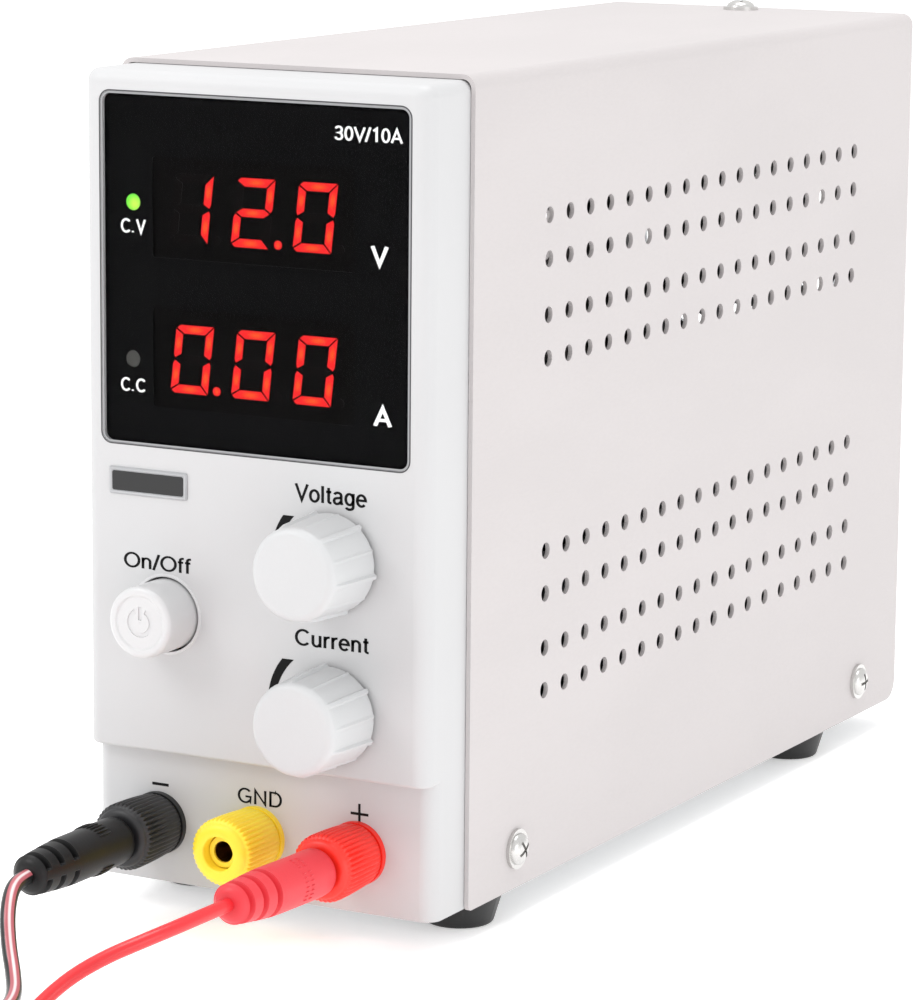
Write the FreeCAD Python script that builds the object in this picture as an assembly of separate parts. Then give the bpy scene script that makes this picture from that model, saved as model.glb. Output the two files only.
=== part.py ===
"""Bench power supply: a slim upright steel case with a moulded front bezel, two readouts, two knobs,
a latching power button, three binding posts with screw caps, and two plugged-in test leads.

Lengths are millimetres. While it is being built, X runs to the right seen from the front, Y runs from
the front face (0) towards the back, and Z runs up from the surface that the supply stands on. Each
solid is shifted along Y as it is saved, so that the origin is at the bottom centre of the object.
"""
import math
import os

import FreeCAD
import Part

V = FreeCAD.Vector

# ---------------------------------------------------------------- driving dimensions
# case
case_width = 76.0
case_height = 156.0
case_length = 220.2
sheet = 0.9                    # thickness of the steel cover
tray_sheet = 1.0               # thickness of the steel tray
cover_bend = 2.6               # outside radius of the cover's top bends
cover_rear_corner = 4.5        # radius of the cover's lower rear corners
cover_front_corner = 1.2
seat_gap = 0.1                 # between still pieces that slide together when fitted

# bezel
bezel_depth = 14.8             # from the front face to the edge of the cover
bezel_tongue = 4.0             # how far the bezel reaches inside the cover
bezel_wall = 2.4
bezel_round = 3.0
bezel_top_round = 2.4
bezel_lift = 0.4               # the bezel ends this far above the underside
bezel_drop = 1.0               # and this far below the cover's top
step_height = 26.4             # the lower strip of the bezel is set back below this height
step_depth = 3.05
step_round = 0.7

# display
window_side_margin = 4.95
window_top_margin = 5.0
window_bottom = 85.1
window_thick = 1.0
window_inset = 0.15
window_ledge = 2.0
window_corner = 2.0
readout_width = 44.0
readout_height = 19.0
readout_depth = 7.0
readout_gap = 0.35             # between the window and the readouts
readout_x = -0.7
readout_drop = 21.2            # top of the window to the middle of the upper readout
readout_pitch = 28.0
lamp_radius = 1.5
lamp_flange = 1.9
lamp_gap = 0.35                # between the window and a lamp's dome
lamp_edge = 10.9               # from the case's side to the lamps
board_thick = 1.6

# badge
badge_width = 17.2
badge_height = 5.2
badge_thick = 0.5
badge_edge = 15.2              # from the case's left side to the badge's middle
badge_height_at = 78.0

# knobs and potentiometers
knob_edge = 20.9               # from the case's right side to the knobs' axes
voltage_knob_height_at = 67.0
knob_pitch = 28.7
knob_front = 14.8              # how far a knob stands out from the front face
knob_gap = 0.8                 # between a knob's skirt and the front face
knob_skirt_radius = 9.4
knob_front_radius = 9.1
knob_edge_round = 1.6
knob_ribs = 6
knob_first_rib = (-10.0, -24.0)  # direction of one rib of each knob, anticlockwise from +X
knob_rib_height = 0.5
knob_rib_width = 1.1
knob_cavity_radius = 7.2
knob_cavity_depth = 4.6
shaft_radius = 3.0
shaft_clearance = 0.05
shaft_tip_gap = 2.0            # plastic in front of the shaft's end
bushing_radius = 3.5
bushing_length = 5.6
pot_radius = 8.0
pot_depth = 8.0
pot_nut_flats = 10.0
pot_nut_thick = 2.0

# power button
button_edge = 18.9             # from the case's left side to the button's axis
button_height_at = 53.3
button_radius = 6.8
button_gap = 0.4
button_front = 9.3
button_round = 1.3
button_root = 5.0              # how far the cap reaches behind the front face
button_stem = 4.6
stem_clearance = 0.1
switch_size = 13.0
switch_depth = 18.0
switch_clearance = 3.0         # between the cap's root and the switch

# binding posts
post_height_at = 11.8
post_pitch = 21.8
post_middle_x = -1.0
collar_radius = 6.1
collar_thick = 1.2
collar_boss_radius = 4.4
stud_radius = 3.0
socket_radius = 2.0
stud_front_gap = 2.6           # the stud's mouth lies this far inside the cap
socket_depth = 16.4
stud_back = 14.0               # the stud's rear end, behind the front face
post_nut_flats = 10.0
post_nut_thick = 3.2
cap_radius = 6.4
cap_length = 12.6
cap_gap = 0.3                  # between a closed cap and its collar
cap_flutes = 30
cap_flute_depth = 0.3
cap_nose = 2.2                 # length of the smooth rounded nose
cap_mouth_radius = 3.2
cap_nose_radius = 4.5
insert_radius = 4.5
insert_length = 5.6
insert_clearance = 0.05
thread_clearance = 0.05
lead_cap_travel = 0.8          # a cap with a plug in it opens by one turn

# plugs and leads
pin_radius = 1.95
pin_length = 19.0
hood_radius = 4.6
hood_length = 30.4
hood_tail_radius = 3.2
hood_taper = 13.0
hood_grooves = 3
hood_gap = 0.3                 # left between the hood and a fully opened cap
lead_radius = {"negative": 1.45, "positive": 1.3}
coil_columns = 4
coil_layers = 2
coil_mean_radius = {"negative": 16.0, "positive": 15.5}
coil_middle = {"negative": (-30.0, -102.0), "positive": (27.0, -102.0)}
far_hood_start = {"negative": (-10.6, -118.0), "positive": (8.4, -118.0)}

# inside
main_board_length = 150.0
main_board_start = 27.0
main_board_width = 64.0
standoff_height = 7.0
standoff_radius = 2.8
standoff_inset = 5.0
heatsink_thick = 3.0
heatsink_length = 80.0
heatsink_height = 48.0
heatsink_start = 62.0
heatsink_fin = 5.0
transformer_length = 36.0
transformer_width = 30.0
transformer_height = 34.0
transformer_at = 100.0
choke_radius = 12.0
choke_wire = 4.5
choke_at = 69.0
bulk_radius = 11.0
bulk_height = 36.0
bulk_at = 150.0
output_cap_radius = 5.0
output_cap_height = 21.0
output_cap_at = 42.0

# back
fan_size = 60.0
fan_depth = 15.0
fan_bore = 28.5
fan_hub = 13.0
fan_height_at = 104.0
fan_hole_edge = 5.0              # from the frame's side to its screw holes
fan_blades = 7
inlet_width = 50.0
inlet_height = 33.0
inlet_flange = 3.0
inlet_height_at = 27.0
inlet_body_width = 29.0
inlet_body_height = 30.0
inlet_body_depth = 22.0
cavity_width = 25.0
cavity_height = 17.0
cavity_depth = 16.5
pin_stick = 10.5
drawer_width = 23.0
drawer_height = 7.6
drawer_depth = 19.0
drawer_clearance = 0.3
fuse_radius = 2.5
fuse_length = 20.0
selector_height_at = 58.0
selector_width = 22.0
selector_height = 12.0
slider_travel = 4.0

# feet and screws
foot_height = 6.0
foot_top_radius = 8.3
foot_bottom_radius = 6.5
foot_side_inset = 8.8
foot_front_at = 27.5
foot_rear_at = 180.0
cover_screw_height_at = 7.8
cover_screw_front_at = 33.6
cover_screw_rear_edge = 22.0      # from the case's rear to the rear side screws
cover_screw_top_edge = 9.2      # and to the screw in the top
screw_radius = 1.5
washer_head_radius = 3.9

# ---------------------------------------------------------------- values that follow
base = foot_height
half = case_width / 2
top = base + case_height
inner = half - sheet                              # inside face of the cover's side
bezel_half = inner - seat_gap
bezel_top = top - bezel_drop
bezel_bottom = base + bezel_lift
tray_half = inner - seat_gap
tray_start = bezel_depth + bezel_tongue + 0.4
tray_top = base + tray_sheet
back_face = case_length
post_x = [post_middle_x + k * post_pitch for k in (-1, 0, 1)]
post_z = base + post_height_at
knob_x = half - knob_edge
knob_z = [base + voltage_knob_height_at, base + voltage_knob_height_at - knob_pitch]
button_x = button_edge - half
button_z = base + button_height_at
lamp_x = lamp_edge - half
window_x = half - window_side_margin
window_z = (base + window_bottom, top - window_top_margin)
readout_z = [window_z[1] - readout_drop - k * readout_pitch for k in (0, 1)]
window_back = window_inset + window_thick
readout_front = window_back + readout_gap
board_front = readout_front + readout_depth
collar_front = step_depth - collar_thick
cap_back = collar_front - cap_gap
cap_front = cap_back - cap_length
stud_front = cap_front + stud_front_gap
hood_front = cap_front - lead_cap_travel - hood_gap
hood_back = hood_front - hood_length
stud_x = dict(zip(("negative", "ground", "positive"), post_x))
front_most = -knob_front
rear_most = back_face + inlet_flange
middle_y = (front_most + rear_most) / 2


# ---------------------------------------------------------------- helpers
def box(x, y, z):
    """A block between pairs of limits."""
    return Part.makeBox(x[1] - x[0], y[1] - y[0], z[1] - z[0], V(x[0], y[0], z[0]))


def rod(radius, start, end):
    """A cylinder from one point to another."""
    run = V(*end) - V(*start)
    return Part.makeCylinder(radius, run.Length, V(*start), run)


def rod_y(radius, x, z, y0, y1):
    return rod(radius, (x, y0, z), (x, y1, z))


def rod_z(radius, x, y, z0, z1):
    return rod(radius, (x, y, z0), (x, y, z1))


def tube_y(outer, bore, x, z, y0, y1):
    return rod_y(outer, x, z, y0, y1).cut(rod_y(bore, x, z, y0 - 1, y1 + 1))


def turned_y(points, x, z):
    """A solid turned about an axis along Y from (radius, y) points; arcs are given as three points."""
    edges = []
    here = V(points[0][0], points[0][1], 0)
    for point in points[1:]:
        if len(point) == 4:
            middle, end = V(point[0], point[1], 0), V(point[2], point[3], 0)
            edges.append(Part.Arc(here, middle, end).toShape())
        else:
            end = V(point[0], point[1], 0)
            edges.append(Part.LineSegment(here, end).toShape())
        here = end
    start = V(points[0][0], points[0][1], 0)
    if (here - start).Length > 1e-7:
        edges.append(Part.LineSegment(here, start).toShape())
    face = Part.Face(Part.Wire(edges))
    solid = face.revolve(V(0, 0, 0), V(0, 1, 0), 360)
    solid.translate(V(x, 0, z))
    return solid


def rounded_plate(x, z, y, corner):
    """A plate in the XZ plane with round corners, between two limits of y."""
    plate = box(x, y, z)
    upright = [e for e in plate.Edges if abs(e.tangentAt(e.FirstParameter).y) > 0.99]
    return plate.makeFillet(corner, upright)


def hexagon_y(flats, x, z, y0, y1):
    radius = flats / math.sqrt(3)
    corners = [V(x + radius * math.cos(math.radians(a)), y0, z + radius * math.sin(math.radians(a)))
               for a in range(0, 420, 60)]
    return Part.Face(Part.makePolygon(corners)).extrude(V(0, y1 - y0, 0))


def group(solids):
    return Part.makeCompound(solids)


def aimed(shape, place, direction):
    """A shape built along +Z from the origin, moved to a place and turned to a direction."""
    shape = shape.copy()
    shape.Placement = FreeCAD.Placement(V(*place), FreeCAD.Rotation(V(0, 0, 1), V(*direction)))
    return shape


def cross_recess(head_height, reach):
    slot = 0.55
    depth = head_height * 0.7
    first = box((-reach, reach), (-slot / 2, slot / 2), (head_height - depth, head_height + 1))
    second = box((-slot / 2, slot / 2), (-reach, reach), (head_height - depth, head_height + 1))
    return first.fuse(second)


def pan_screw(length, head_radius=2.8, head_height=1.7):
    """A small round-headed screw: its head stands above z = 0 and its shank hangs below."""
    head = Part.makeCylinder(head_radius, head_height)
    rim = [e for e in head.Edges if e.Length > 1 and e.CenterOfMass.z > head_height - 0.01]
    head = head.makeFillet(head_height * 0.55, rim)
    shank = Part.makeCylinder(screw_radius, length, V(0, 0, -length))
    return head.fuse(shank).cut(cross_recess(head_height, head_radius * 0.55)).removeSplitter()


def washer_screw(length):
    """A cover screw: a domed head on a wide washer flange."""
    flange = Part.makeCylinder(washer_head_radius, 0.8)
    return flange.fuse(pan_screw(length, 3.0, 2.4)).removeSplitter()


saved = {}


def save(name, shape):
    """Shift the shape so that the object's middle is at the origin, and write its file."""
    shape = shape.copy()
    shape.translate(V(0, -middle_y, 0))
    solids = shape.Solids
    assert solids and shape.isValid(), name
    saved[name] = shape
    shape.exportStep("parts/" + name + ".step")
    print(f"{name:24s} {len(solids):3d} solid(s) {sum(s.Volume for s in solids) / 1000:9.3f} cm3")


# ---------------------------------------------------------------- case
vent_first_at = 44.6
vent_pitch = 8.49
vent_columns = 18
vent_radius = 1.6
vent_row_pitch = 8.31
vent_pair_gap = 10.58
vent_band_gap = 36.98
vent_top_row = 127.9


def vent_rows():
    """Heights of the eight rows: two bands, each of two pairs."""
    pair = [0, vent_row_pitch]
    band = pair + [vent_row_pitch + vent_pair_gap + h for h in pair]
    rows = band + [band[-1] + vent_band_gap + h for h in band]
    return [base + vent_top_row - h for h in rows]


def cover_screw_places():
    """Place and outward direction of each cover screw."""
    z = base + cover_screw_height_at
    sides = [((side * half, y, z), (side, 0, 0))
             for side in (-1, 1) for y in (cover_screw_front_at, case_length - cover_screw_rear_edge)]
    return sides + [((0, case_length - cover_screw_top_edge, top), (0, 0, 1))]


def make_top_cover():
    outer = box((-half, half), (bezel_depth, case_length), (base, top))
    bends = [e for e in outer.Edges
             if abs(e.tangentAt(e.FirstParameter).y) > 0.99 and e.CenterOfMass.z > top - 1]
    outer = outer.makeFillet(cover_bend, bends)
    hollow = box((-inner, inner), (bezel_depth - 1, case_length + 1), (base - 1, top - sheet))
    bends = [e for e in hollow.Edges
             if abs(e.tangentAt(e.FirstParameter).y) > 0.99 and e.CenterOfMass.z > top - 2]
    hollow = hollow.makeFillet(cover_bend - sheet, bends)
    cover = outer.cut(hollow)
    for y, radius in ((case_length, cover_rear_corner), (bezel_depth, cover_front_corner)):
        corners = [e for e in cover.Edges if abs(e.tangentAt(e.FirstParameter).x) > 0.99
                   and abs(e.CenterOfMass.z - base) < 0.01 and abs(e.CenterOfMass.y - y) < 0.01]
        cover = cover.makeFillet(radius, corners)
    columns = [vent_first_at + k * vent_pitch for k in range(vent_columns)]
    holes = [rod(vent_radius, (-half - 1, y, z), (half + 1, y, z)) for y in columns for z in vent_rows()]
    holes += [aimed(Part.makeCylinder(screw_radius, 4, V(0, 0, -3)), place, direction)
              for place, direction in cover_screw_places()]
    return cover.cut(group(holes))


def fan_grille():
    """Punched slots in front of the fan: rings of arcs with four bars left between them."""
    z = base + fan_height_at
    rings = []
    for outer, bore in ((27.0, 22.8), (20.6, 16.4), (14.2, 10.0), (7.8, 4.2)):
        rings.append(tube_y(outer, bore, 0, z, back_face - 5, back_face + 1))
    slots = rings[0].fuse(rings[1:])
    for angle in (45, 135):
        bar = box((-40, 40), (back_face - 6, back_face + 2), (-1.5, 1.5))
        bar.rotate(V(0, 0, 0), V(0, 1, 0), angle)
        bar.translate(V(0, 0, z))
        slots = slots.cut(bar)
    return slots


def fan_screw_places():
    z = base + fan_height_at
    reach = (fan_size / 2 - fan_hole_edge)
    return [(sx * reach, z + sz * reach) for sx in (-1, 1) for sz in (-1, 1)]


inlet_screw_places = [(side * 20.0, base + inlet_height_at) for side in (-1, 1)]
selector_screw_places = [(side * 14.0, base + selector_height_at) for side in (-1, 1)]
bezel_screw_places = [(side * (half - 7.5), base + 21.5) for side in (-1, 1)]
foot_places = [(side * (half - foot_side_inset), y)
               for side in (-1, 1) for y in (foot_front_at, foot_rear_at)]
tray_front_top = base + 25.6
tray_lip_height = 14.0


def make_chassis_tray():
    floor = box((-tray_half, tray_half), (tray_start, back_face), (base, tray_top))
    back = box((-tray_half, tray_half), (back_face - tray_sheet, back_face), (base, top - sheet - seat_gap))
    upper = [e for e in back.Edges
             if abs(e.tangentAt(e.FirstParameter).y) > 0.99 and e.CenterOfMass.z > top - 5]
    back = back.makeFillet(cover_bend - sheet, upper)
    front_y = (tray_start, tray_start + tray_sheet)
    front = box((-tray_half + 2, tray_half - 2), front_y, (base, tray_front_top))
    tray = floor.fuse([back, front])
    for side in (-1, 1):
        x = sorted((side * tray_half, side * (tray_half - tray_sheet)))
        lip_y = (tray_start + 4, back_face - tray_sheet)
        tray = tray.fuse(box(x, lip_y, (base, base + tray_lip_height)))
    flange_y = (back_face - 16, back_face - tray_sheet)
    flange_z = (top - sheet - seat_gap - tray_sheet, top - sheet - seat_gap)
    tray = tray.fuse(box((-20, 20), flange_y, flange_z))
    corner = base - 1
    holes = [aimed(Part.makeCylinder(screw_radius, 8, V(0, 0, -7)), place, direction)
             for place, direction in cover_screw_places()]
    holes += [rod_y(screw_radius, x, z, back_face - 3, back_face + 1)
              for x, z in fan_screw_places() + inlet_screw_places + selector_screw_places]
    holes += [rod_y(screw_radius, x, z, tray_start - 1, tray_start + 3) for x, z in bezel_screw_places]
    holes += [rod_z(screw_radius, x, y, corner, tray_top + 1) for x, y in foot_places]
    holes += [rod_z(screw_radius, x, y, corner, tray_top + 1) for x, y in standoff_places()]
    holes += [rod_y(collar_boss_radius + 0.6, x, post_z, tray_start - 1, tray_start + 3) for x in post_x]
    z = base + inlet_height_at
    clear = seat_gap
    holes.append(box((-inlet_body_width / 2 - clear, inlet_body_width / 2 + clear),
                     (back_face - 3, back_face + 1),
                     (z - inlet_body_height / 2 - clear, z + inlet_body_height / 2 + clear)))
    z = base + selector_height_at
    holes.append(box((-selector_width / 2 + 2 - clear, selector_width / 2 - 2 + clear),
                     (back_face - 3, back_face + 1),
                     (z - selector_height / 2 + 1 - clear, z + selector_height / 2 - 1 + clear)))
    tray = tray.cut(group(holes)).cut(fan_grille())
    return tray.removeSplitter()


# ---------------------------------------------------------------- bezel
def bezel_block(side, front, step, low, high, depth):
    """The bezel's stepped outline, as a solid between two sides; step is the height of its ledge."""
    strip = front + step_depth
    outline = [(front, step), (front, high), (depth, high), (depth, low), (strip, low), (strip, step),
               (front, step)]
    wire = Part.makePolygon([V(-side, y, z) for y, z in outline])
    return Part.Face(wire).extrude(V(2 * side, 0, 0))


board_boss_places = [(side * (bezel_half - bezel_wall - 3.2), z)
                     for side in (-1, 1) for z in (window_z[0] + 6, window_z[1] - 4)]
control_board_x = (knob_x - 12.0, bezel_half - bezel_wall - 1.0)
control_board_z = (base + 27.0, base + 82.0)
control_boss_places = [(x, knob_z[1] + knob_pitch / 2)
                       for x in (control_board_x[0] + 3.2, control_board_x[1] - 3.2)]
control_board_front = bezel_wall + pot_depth + 0.6


def make_front_bezel():
    depth = bezel_depth + bezel_tongue
    step = base + step_height
    body = bezel_block(bezel_half, 0, step, bezel_bottom, bezel_top, depth)
    upright = [e for e in body.Edges if abs(e.tangentAt(e.FirstParameter).z) > 0.99
               and e.CenterOfMass.y < step_depth + 0.1]
    body = body.makeFillet(bezel_round, upright)
    brow = [e for e in body.Edges if e.BoundBox.ZMin > bezel_top - 0.1 and e.BoundBox.YMin < bezel_round + 0.1
            and e.BoundBox.YMax < bezel_round + 0.1]
    body = body.makeFillet(bezel_top_round, brow)
    lip = [e for e in body.Edges if abs(e.tangentAt(e.FirstParameter).z) < 0.01
           and abs(e.CenterOfMass.z - step) < 0.01 and abs(e.CenterOfMass.y) < 0.01]
    body = body.makeFillet(step_round, lip)
    hollow = bezel_block(bezel_half - bezel_wall, bezel_wall, step + bezel_wall, bezel_bottom + bezel_wall,
                         bezel_top - bezel_wall, depth + 1)
    body = body.cut(hollow)
    ledge_x = window_x - window_ledge
    ledge_z = (window_z[0] + window_ledge, window_z[1] - window_ledge)
    bosses = []
    for x, z in board_boss_places:
        bosses.append(rod_y(3.0, x, z, bezel_wall - 0.5, board_front))
    for x, z in control_boss_places:
        bosses.append(rod_y(2.6, x, z, bezel_wall - 0.5, control_board_front))
    for x, z in bezel_screw_places:
        bosses.append(rod_y(3.4, x, z, step_depth + bezel_wall - 0.5, tray_start))
    body = body.fuse(bosses)
    body = body.common(box((-bezel_half, bezel_half), (-1, tray_start), (base, top)))
    cuts = [rounded_plate((-window_x, window_x), window_z, (-1, window_back), window_corner),
            box((-ledge_x, ledge_x), (-1, bezel_wall + 3), ledge_z)]
    cuts += [rod_y(bushing_radius + seat_gap, knob_x, z, -1, bezel_wall + 1) for z in knob_z]
    cuts.append(rod_y(button_radius + button_gap, button_x, button_z, -1, bezel_wall + 1))
    strip_back = step_depth + bezel_wall + 1
    cuts += [rod_y(collar_boss_radius, x, post_z, step_depth - 1, strip_back) for x in post_x]
    pilot = screw_radius
    cuts += [rod_y(pilot, x, z, bezel_wall, board_front + 1) for x, z in board_boss_places]
    cuts += [rod_y(pilot, x, z, bezel_wall + 1, control_board_front + 1) for x, z in control_boss_places]
    cuts += [rod_y(pilot, x, z, step_depth + bezel_wall, tray_start + 1) for x, z in bezel_screw_places]
    return body.cut(group(cuts)).removeSplitter()


def make_display_window():
    gap = 0.05
    x = (-window_x + gap, window_x - gap)
    z = (window_z[0] + gap, window_z[1] - gap)
    return rounded_plate(x, z, (window_inset, window_back), window_corner - gap)


def make_badge_plate():
    x = badge_edge - half
    z = base + badge_height_at
    plate = rounded_plate((x - badge_width / 2, x + badge_width / 2),
                          (z - badge_height / 2, z + badge_height / 2), (-badge_thick, 0), 0.4)
    return plate


# ---------------------------------------------------------------- display
def make_readouts():
    blocks = []
    for z in readout_z:
        sides = (readout_x - readout_width / 2, readout_x + readout_width / 2)
        block = box(sides, (readout_front, board_front),
                    (z - readout_height / 2, z + readout_height / 2))
        blocks.append(block)
    return group(blocks)


def make_lamp(z):
    """A 3 mm lamp on a spacer that stands on the display board."""
    dome = window_back + lamp_gap + lamp_radius
    flange_front = dome + 3.0
    profile = [(0, dome - lamp_radius), (lamp_radius * 0.707, dome - lamp_radius * 0.707, lamp_radius, dome),
               (lamp_radius, flange_front), (lamp_flange, flange_front), (lamp_flange, flange_front + 1),
               (lamp_radius, flange_front + 1), (lamp_radius, board_front), (0, board_front)]
    return turned_y(profile, lamp_x, z)


def make_display_board():
    side = bezel_half - bezel_wall - 0.4
    board_y = (board_front, board_front + board_thick)
    board = box((-side, side), board_y, (window_z[0] + 1.6, window_z[1] - 0.8))
    holes = [rod_y(screw_radius, x, z, board_front - 1, board_front + 3) for x, z in board_boss_places]
    return board.cut(group(holes))


# ---------------------------------------------------------------- knobs
def make_pot_bodies():
    bodies = []
    for z in knob_z:
        can = rod_y(pot_radius, knob_x, z, bezel_wall, bezel_wall + pot_depth)
        tail = box((knob_x - 4, knob_x + 4), (bezel_wall + 1, bezel_wall + pot_depth + 0.6), (z - 9, z - 5))
        bushing_front = bezel_wall - bushing_length
        bushing = rod_y(bushing_radius, knob_x, z, bushing_front, bezel_wall + 1)
        body = can.fuse([tail, bushing])
        body = body.cut(rod_y(shaft_radius + shaft_clearance, knob_x, z, bushing_front - 1,
                              bezel_wall + pot_depth - 2))
        bodies.append(body)
    return group(bodies)


def make_pot_nuts():
    nuts = []
    for z in knob_z:
        nut = hexagon_y(pot_nut_flats, knob_x, z, -pot_nut_thick, 0)
        nuts.append(nut.cut(rod_y(bushing_radius, knob_x, z, -pot_nut_thick - 1, 1)))
    return group(nuts)


shaft_front = -knob_front + shaft_tip_gap
shaft_flat = 1.5               # the flat cut on the shaft's front half, above its axis
knob_boss_radius = 4.8


def flatted_shaft(radius, z, y0, y1, flat_to):
    """A shaft with a flat from its front end back to flat_to."""
    flat = box((knob_x - radius, knob_x + radius), (y0 - 1, flat_to), (z + shaft_flat, z + radius + 1))
    return rod_y(radius, knob_x, z, y0, y1).cut(flat)


def make_pot_shaft(z):
    return flatted_shaft(shaft_radius, z, shaft_front, bezel_wall + pot_depth - 2.4, shaft_front + 5.5)


def make_knob(z, first_rib):
    """A cup with a rounded front edge, raised ribs round its side and a boss for the shaft."""
    back = -knob_gap
    front = -knob_front
    rounding = knob_edge_round
    shoulder = knob_front_radius - rounding * 0.293
    outline = [(0, front), (knob_front_radius - rounding, front),
               (shoulder, front + rounding * 0.293, knob_front_radius, front + rounding),
               (knob_skirt_radius, back), (knob_cavity_radius, back),
               (knob_cavity_radius, back - knob_cavity_depth), (knob_boss_radius, back - knob_cavity_depth),
               (knob_boss_radius, back - pot_nut_thick - 2.2), (0, back - pot_nut_thick - 2.2)]
    knob = turned_y(outline, knob_x, z)
    ribs = []
    for k in range(knob_ribs):
        profile = [V(knob_front_radius - 1.0, front + rounding, 0),
                   V(knob_front_radius + knob_rib_height * 0.2, front + rounding + 0.4, 0),
                   V(knob_skirt_radius + knob_rib_height, back, 0), V(knob_skirt_radius - 1.0, back, 0)]
        rib = Part.Face(Part.makePolygon(profile + profile[:1])).extrude(V(0, 0, knob_rib_width))
        rib.translate(V(0, 0, -knob_rib_width / 2))
        rib.rotate(V(0, 0, 0), V(0, 1, 0), 360.0 * k / knob_ribs - first_rib)
        rib.translate(V(knob_x, 0, z))
        ribs.append(rib)
    knob = knob.fuse(ribs)
    bore = flatted_shaft(shaft_radius, z, shaft_front, back, shaft_front + 5.5)
    return knob.cut(bore).removeSplitter()


def make_control_board():
    board = box(control_board_x, (control_board_front, control_board_front + board_thick), control_board_z)
    holes = [rod_y(screw_radius, x, z, control_board_front - 1, control_board_front + 3)
             for x, z in control_boss_places]
    return board.cut(group(holes))


# ---------------------------------------------------------------- power button
switch_front = button_root + switch_clearance
switch_bracket = 1.0


def make_power_button():
    front = -button_front
    edge = button_radius - button_round
    dish = 0.35
    outline = [(0, front + dish), (edge - 1.4, front + dish), (edge - 1.0, front), (edge, front),
               (edge + button_round * 0.707, front + button_round * 0.293, button_radius,
                front + button_round), (button_radius, button_root), (0, button_root)]
    cap = turned_y(outline, button_x, button_z)
    reach = button_stem / 2
    stem = box((button_x - reach, button_x + reach), (button_root - 1, switch_front + 8),
               (button_z - reach, button_z + reach))
    return cap.fuse(stem).removeSplitter()


def make_power_switch():
    """The latching switch, held by two legs that stand on the back of the front wall."""
    reach = switch_size / 2
    hole = button_stem / 2 + stem_clearance
    body = box((button_x - reach, button_x + reach), (switch_front, switch_front + switch_depth),
               (button_z - reach, button_z + reach))
    hole_y = (switch_front - 2, switch_front + 12)
    plate = box((button_x - reach, button_x + reach), (switch_front - switch_bracket, switch_front),
                (button_z - reach - 6, button_z + reach + 6))
    legs = [box((button_x - reach, button_x + reach), (bezel_wall, switch_front),
                sorted((button_z + side * (reach + 4.8), button_z + side * (reach + 6))))
            for side in (-1, 1)]
    body = body.fuse([plate] + legs)
    body = body.cut(box((button_x - hole, button_x + hole), hole_y, (button_z - hole, button_z + hole)))
    pins = [box((button_x + dx - 0.4, button_x + dx + 0.4), (switch_front + switch_depth - 0.5,
                                                          switch_front + switch_depth + 3.5),
                (button_z + dz - 1, button_z + dz + 1)) for dx in (-4, 4) for dz in (-4, 0, 4)]
    return body.fuse(pins).removeSplitter()


# ---------------------------------------------------------------- binding posts
def make_collar(x):
    flange = tube_y(collar_radius, stud_radius, x, post_z, collar_front, step_depth)
    boss = tube_y(collar_boss_radius, stud_radius, x, post_z, step_depth, step_depth + bezel_wall)
    return flange.fuse(boss).removeSplitter()


def make_post_studs():
    studs = []
    for x in post_x:
        stud = rod_y(stud_radius, x, post_z, stud_front, stud_back)
        studs.append(stud.cut(rod_y(socket_radius, x, post_z, stud_front - 1, stud_front + socket_depth)))
    return group(studs)


def make_post_nuts():
    nuts = []
    back = step_depth + bezel_wall
    for x in post_x:
        washer = tube_y(post_nut_flats / 2 + 0.6, stud_radius, x, post_z, back, back + 0.8)
        nut = hexagon_y(post_nut_flats, x, post_z, back + 0.8, back + 0.8 + post_nut_thick)
        nut = nut.cut(rod_y(stud_radius, x, post_z, back, back + 9))
        nuts.append(washer.fuse(nut).removeSplitter())
    return group(nuts)


insert_back = cap_back - 0.3
insert_front = insert_back - insert_length


def make_cap(x):
    """A fluted screw cap with a smooth rounded nose and a round mouth for the plug."""
    nose_back = cap_front + cap_nose
    bore = insert_radius + insert_clearance
    smooth = cap_radius - cap_flute_depth - 0.03
    middle = (cap_nose_radius + (smooth - cap_nose_radius) * 0.72, cap_front + cap_nose * 0.28)
    seat = insert_front - 0.3
    outline = [(cap_mouth_radius, seat), (cap_mouth_radius, cap_front + 0.5),
               (cap_mouth_radius + 0.5, cap_front), (cap_nose_radius, cap_front),
               (middle[0], middle[1], smooth, nose_back),
               (cap_radius, nose_back + 0.8), (cap_radius, cap_back - 0.5), (cap_radius - 0.5, cap_back),
               (bore, cap_back), (bore, seat)]
    body = turned_y(outline, x, post_z)
    corners = []
    for k in range(cap_flutes):
        for share, radius in ((-0.42, cap_radius - cap_flute_depth), (-0.22, cap_radius + 0.1),
                              (0.22, cap_radius + 0.1), (0.42, cap_radius - cap_flute_depth)):
            angle = 2 * math.pi * (k + share) / cap_flutes
            corners.append(V(x + radius * math.cos(angle), cap_front - 1, post_z + radius * math.sin(angle)))
    flutes = Part.Face(Part.makePolygon(corners + corners[:1])).extrude(V(0, cap_length + 2, 0))
    return body.common(flutes)


def make_insert(x):
    """The threaded brass sleeve that carries the cap along the stud."""
    return tube_y(insert_radius, stud_radius + thread_clearance, x, post_z, insert_front, insert_back)


# ---------------------------------------------------------------- test leads
def hood_outline(front):
    """The (radius, y) outline of a plug's hood, whose mouth is at y = front; it runs towards -Y."""
    taper = front - hood_length + hood_taper
    tail = front - hood_length
    pitch = (hood_taper - 4.0) / hood_grooves
    points = [(pin_radius, front), (hood_radius - 0.4, front), (hood_radius, front - 0.4)]
    for k in range(hood_grooves):
        y = taper - 0.8 - k * pitch
        for at, depth in ((y, 0), (y - 0.25, 0.7), (y - 1.05, 0.7), (y - 1.3, 0)):
            share = max(0.0, (taper - at)) / hood_taper
            radius = hood_radius + (hood_tail_radius - hood_radius) * share ** 1.5
            points.append((radius - depth, at))
    points += [(hood_tail_radius, tail + 1.0), (hood_tail_radius - 1.0, tail), (0, tail)]
    return points


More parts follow.
